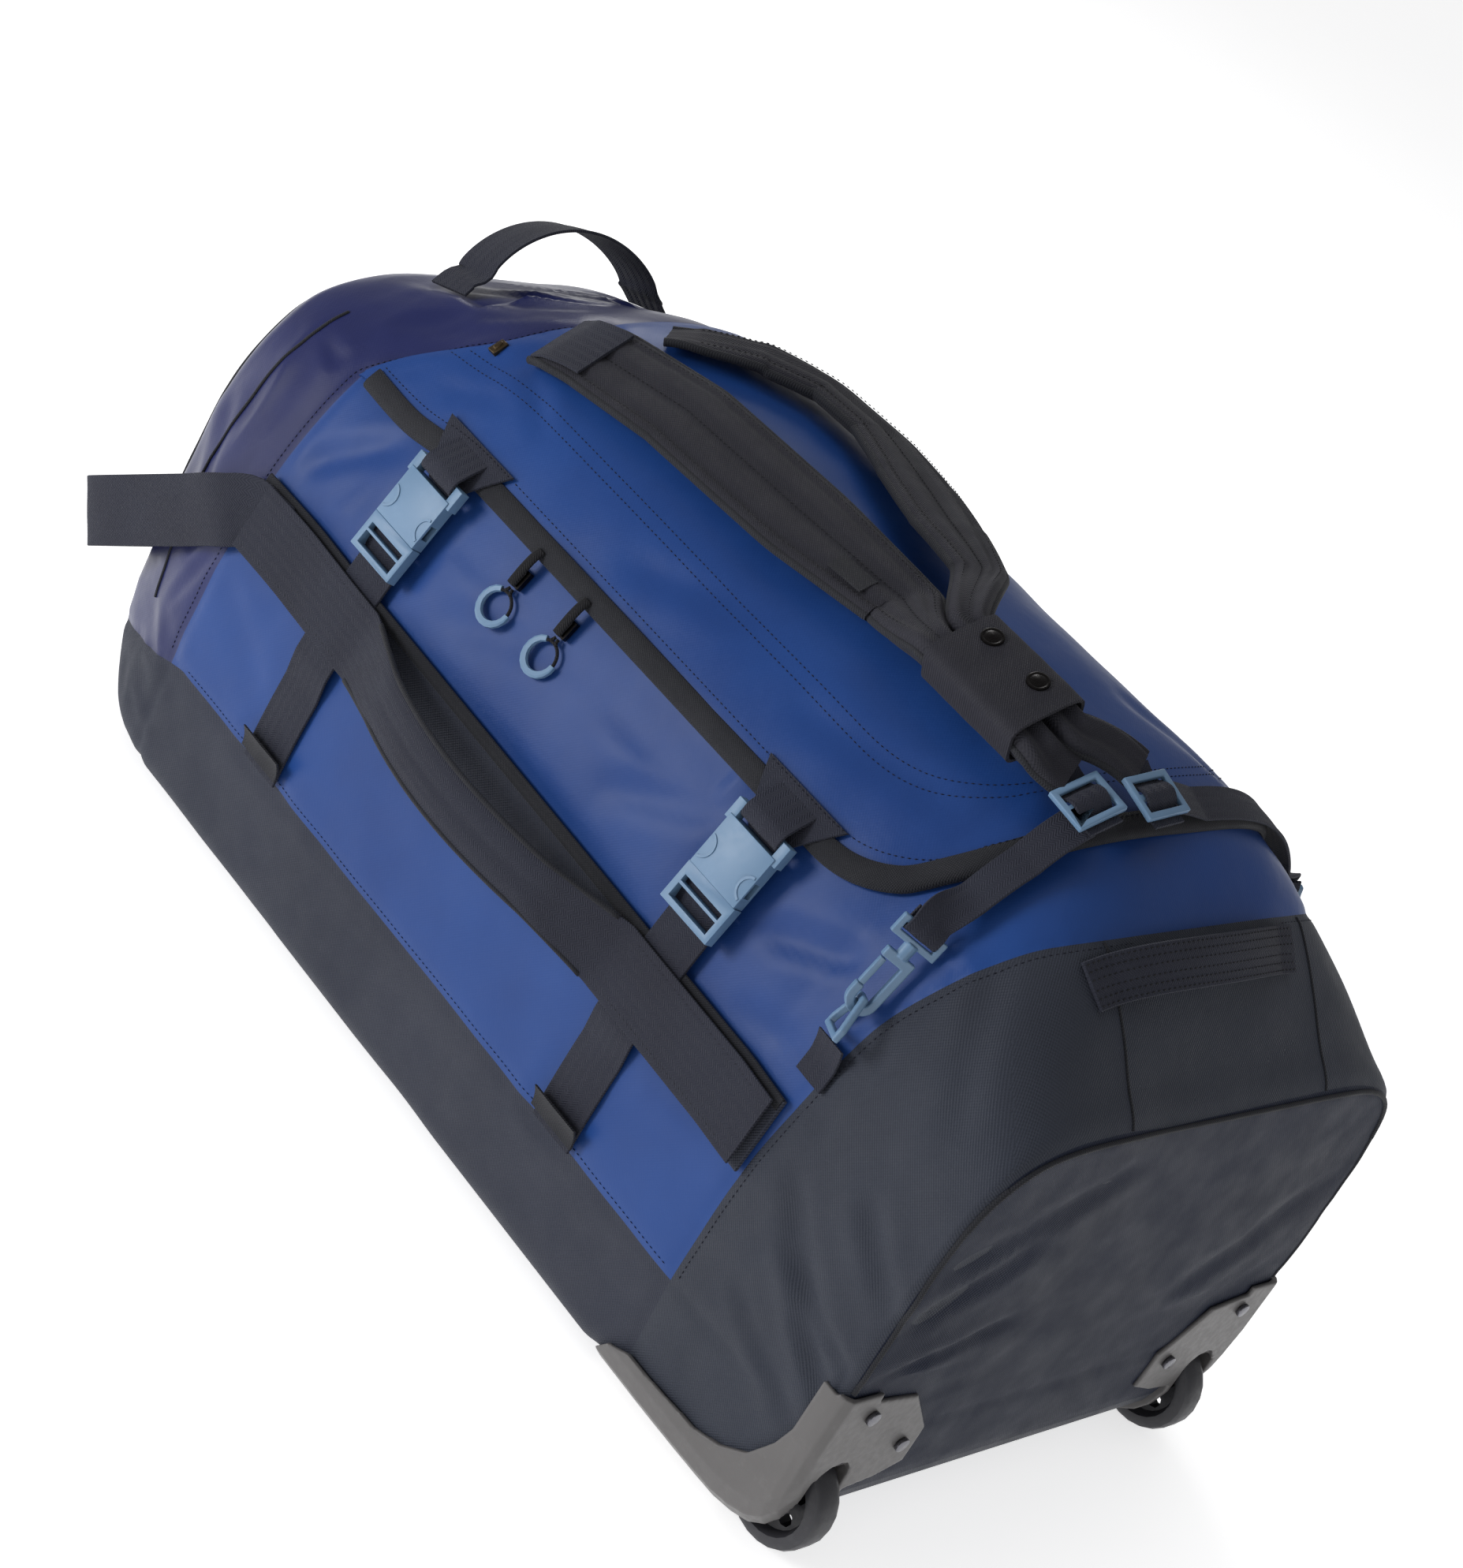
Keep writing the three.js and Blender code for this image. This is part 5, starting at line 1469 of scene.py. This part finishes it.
for end_name, x in (("far", -83), ("near", -31)):
    f = side_frame(x, ZIP_HEIGHT, ZIP_LIFT)
    arc = pull_arc(f, math.radians(118), math.radians(365), PULL_RADIUS, 14)
    widths = [1.0 - 0.32 * abs(2 * i / 13 - 1) ** 2.5 for i in range(14)]

    def facet(i, widths=widths):
        w = widths[i]
        return [(2.9 * w, -1.3), (2.9 * w, 1.3), (1.2, 2.3 * w), (-1.6, 1.9 * w), (-2.2, 0), (-1.6, -1.9 * w),
                (1.2, -2.3 * w)]

    pull = sweep("pull", arc, facet, LIGHT_BLUE, sharp=28)
    round_cord = round_section(1.15, 10)
    loop_arc = pull_arc(f, math.radians(-8), math.radians(128), PULL_RADIUS - 0.4, 30)
    loop = sweep("loop", loop_arc, round_cord, CORD, sharp=80)
    strands = []
    for sign in (-1, 1):
        keys = [f["p"] + f["v"] * v + f["u"] * sign * u + f["n"] * n
                for v, u, n in ((-13.2, 3.4, 0.2), (-11, 1.9, 0.6), (-8.8, 1.3, 0.3))]
        path = [{"p": p, "n": f["n"], "across": f["u"]} for p in keys]
        strands.append(sweep("strand", smooth_frames(path, 12), round_cord, CORD, sharp=80))
    pull = merge(f"pull_loop_{end_name}", [pull, loop] + strands)
    ride(pull, f"zip_pull_{end_name}", f"zip_pull_{end_name}", slot="buckle_plastic")
    slider = from_node(f"slider_{end_name}", f"zip_slider_{end_name}", BLACKENED, 0.5, 2)
    sleeve_keys = [{"p": f["p"] + f["v"] * v + f["n"] * n, "n": f["n"], "across": f["u"]}
                   for v, n in ((-6.5, 4.4), (0, 5.2), (9, 5.6), (16, 5.2), (22, 3.6))]
    sleeve = sweep("sleeve", smooth_frames(sleeve_keys, 24), [
        (3.6 * signed_power(math.cos(t), 0.7), 1.7 * math.sin(t)) for t in turns(16)], CORD, sharp=80)
    slider = merge(f"slider_{end_name}", [slider, sleeve])
    ride(slider, f"zip_slider_{end_name}", f"zip_slider_{end_name}", slot="wheel_plastic")
pocket = from_node("slider_pocket", "zip_slider_pocket", BRONZE, 0.5, 2)
ride(pocket, "zip_slider_pocket", "zip_slider_pocket", slot="wheel_plastic")

# ------------------------------------------------------------------ guards and wheels

for side_name in ("left", "right"):
    guard = moulded(f"guard_{side_name}", f"corner_guard_{side_name}", GRAPHITE, 1.0)
    ride(guard, "shell", f"corner_guard_{side_name}", slot="guard_plastic")
    for k in (1, 2):
        head = from_node(f"screw_head_{side_name}_{k}", f"guard_screw_{side_name}_{k}", STEEL, 0.5, 2)
        ride(head, "shell", f"guard_screw_{side_name}_{k}", slot="steel")
    wheel = from_node(f"roller_{side_name}", f"wheel_{side_name}", WHEEL_DARK, 0.9, 2)
    ride(wheel, f"wheel_{side_name}", f"wheel_{side_name}", slot="wheel_plastic")

for node, material in (("base_board", BOARD), ("backing_plate_left", BOARD), ("backing_plate_right", BOARD),
                       ("axle_left", STEEL), ("axle_right", STEEL)):
    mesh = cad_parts[node].data
    mesh.materials.clear()
    mesh.materials.append(material)

# ------------------------------------------------------------------ stitching and welts on the shell

cloth_targets = [panels[name] for name in panels]


def seam_rows_at(places):
    """A row of points on each long side, through (x, z) places."""
    rows = []
    for _, side in SIDES:
        frames = [side_frame(x, z, 0, side) for x, z in places]
        rows.append(([f["p"] for f in frames], [f["n"] for f in frames]))
    return rows


STITCH_OFFSET = 5.0
thread_rows = seam_rows_at([(BOOT_SEAM(z) + STITCH_OFFSET, z) for z in np.linspace(100, 402, 120)])
thread_rows += seam_rows_at([(CAP_SEAM(z) - STITCH_OFFSET, z) for z in np.linspace(100, 430, 120)])
thread_rows += seam_rows_at([(x, SEAM_HEIGHT + 6.0) for x in np.linspace(-280, 296, 200)])


def welt(name, places, radius=1.5, material=TRIM):
    """Piping along a line of (point, normal) places, settled on the cloth."""
    settled = settle([([p for p, _ in places], [n for _, n in places])], cloth_targets, 0.3)
    pieces = []
    for points, normals in settled:
        keys = []
        for k, (p, n) in enumerate(zip(points, normals)):
            along = unit(points[min(k + 1, len(points) - 1)] - points[max(k - 1, 0)])
            keys.append({"p": p, "n": n, "across": unit(np.cross(along, n))})
        pieces.append(sweep(name, keys, round_section(radius, 8), material, sharp=80))
    return pieces


welts = []
end_top = [(y, float(top_at(END_X, y)) - 1.0) for y in np.linspace(-206, 206, 120)]
welts += welt("welt", [(np.array([END_X - 2.2, y, z]), unit([0.75, 0, 0.66])) for y, z in end_top], 1.7)
for side in (-1, 1):
    welts += welt("welt", [(np.array([END_X - 2.2, side * float(side_at(END_X, z)), z]),
                            unit([0.75, side * 0.66, 0])) for z in np.linspace(300, 142, 50)], 1.7)
    centre_seam = []
    for x in np.linspace(361, 440, 70):
        f = top_frame(x, side * 100)
        centre_seam.append((f["p"], f["n"]))
    welts += welt("welt", centre_seam, 0.9)
    f_seam = []
    for z in np.linspace(110, 352, 110):
        x = -352 - 12 * math.sin(math.pi * (z - 110) / 242)
        f = side_frame(x, z, 0, side)
        f_seam.append((f["p"], f["n"]))
    welts += welt("welt", f_seam, 1.2)
far_rim = []
for t in np.linspace(0.05, 0.95, 160):
    ring = half_ring(FAR_X + 1.5)
    lengths = np.r_[0, np.cumsum(np.linalg.norm(np.diff(ring, axis=0), axis=1))]
    start = np.interp(110, ring[30:, 1], lengths[30:])
    place = start + (lengths[-1] - start) * min(1, 2 * t if t < 0.5 else 2 - 2 * t)
    y, z = np.interp(place, lengths, ring[:, 0]), np.interp(place, lengths, ring[:, 1])
    y = y if t < 0.5 else -y
    far_rim.append((np.array([FAR_X + 1.5, y, z]), unit([-0.7, y / 260, (z - 180) / 220])))
welts += welt("welt", far_rim, 2.4)
welts = merge("piping", welts)
ride(welts, "shell", slot="charcoal_shell")
shell_thread = stitches("shell_thread", settle(thread_rows, cloth_targets), THREAD)
ride(shell_thread, "shell", slot="charcoal_shell")
webbing_thread = stitches("webbing_thread", grey_rows, THREAD_GREY, radius=0.5)
ride(webbing_thread, "shell")

# ------------------------------------------------------------------ stage, light and camera


def floor_material():
    build = Nodes("pale_floor", Specular_IOR_Level=0.2, Emission_Color=(1, 1, 1, 1), Emission_Strength=0.62)
    build.link(build.mix(build.noise(2.0, 3.0), colour(243, 243, 244), colour(247, 247, 248)), "Base Color")
    build.link(build.spread(build.noise(30.0, 3.0), 0.7, 0.85), "Roughness")
    return build.material


floor_mesh = bpy.data.meshes.new("floor")
FLOOR_HALF, FLOOR_HEIGHT = 60, -0.0005
corners = [(x * FLOOR_HALF, y * FLOOR_HALF, FLOOR_HEIGHT) for x, y in ((-1, -1), (1, -1), (1, 1), (-1, 1))]
floor_mesh.from_pydata(corners, [], [(0, 1, 2, 3)])
floor_mesh.materials.append(floor_material())
add_object("floor", floor_mesh)

world = bpy.data.worlds.new("studio")
world.use_nodes = True
world.node_tree.nodes["Background"].inputs["Color"].default_value = (1.0, 1.0, 1.0, 1)
world.node_tree.nodes["Background"].inputs["Strength"].default_value = 0.3
bpy.context.scene.world = world


def area_light(name, place, target, size, power, glossy=True):
    data = bpy.data.lights.new(name, "AREA")
    data.shape = "DISK"
    data.size = size
    data.energy = power
    lamp = add_object(name, data)
    lamp.location = place
    lamp.visible_glossy = glossy
    lamp.rotation_euler = (Vector(target) - Vector(place)).to_track_quat("-Z", "Y").to_euler()


area_light("key", (-1.8, -3.0, 1.0), (0, 0, 0.2), 1.6, 60, glossy=False)
area_light("key_sheen", (-1.8, -3.0, 1.0), (0, 0, 0.2), 1.2, 34)
area_light("overhead", (-0.6, 0.4, 3.4), (0, 0, 0.2), 2.4, 22, glossy=False)
area_light("fill", (3.0, -1.2, 1.4), (0.1, 0, 0.2), 1.6, 14)
area_light("rim", (-2.6, 1.6, 2.0), (-0.2, 0, 0.3), 1.0, 12)

camera_data = bpy.data.cameras.new("camera")
camera_data.sensor_fit = "VERTICAL"
camera_data.sensor_height = 36.0
camera_data.sensor_width = 36.0 * 1855 / 1988
camera_data.lens = 71.46
camera_data.clip_start = 0.05
camera = add_object("camera", camera_data)
right = Vector((0.5835, 0.6832, 0.4392)).normalized()
up = Vector((-0.6324, 0.0429, 0.7734))
up = (up - right * up.dot(right)).normalized()
back = right.cross(up)
placed = Matrix((right, up, back)).transposed().to_4x4()
placed.translation = Vector((1.0807, -1.5303, 1.1846))
camera.matrix_world = placed
bpy.context.scene.camera = camera
bpy.context.scene.view_settings.view_transform = "Standard"
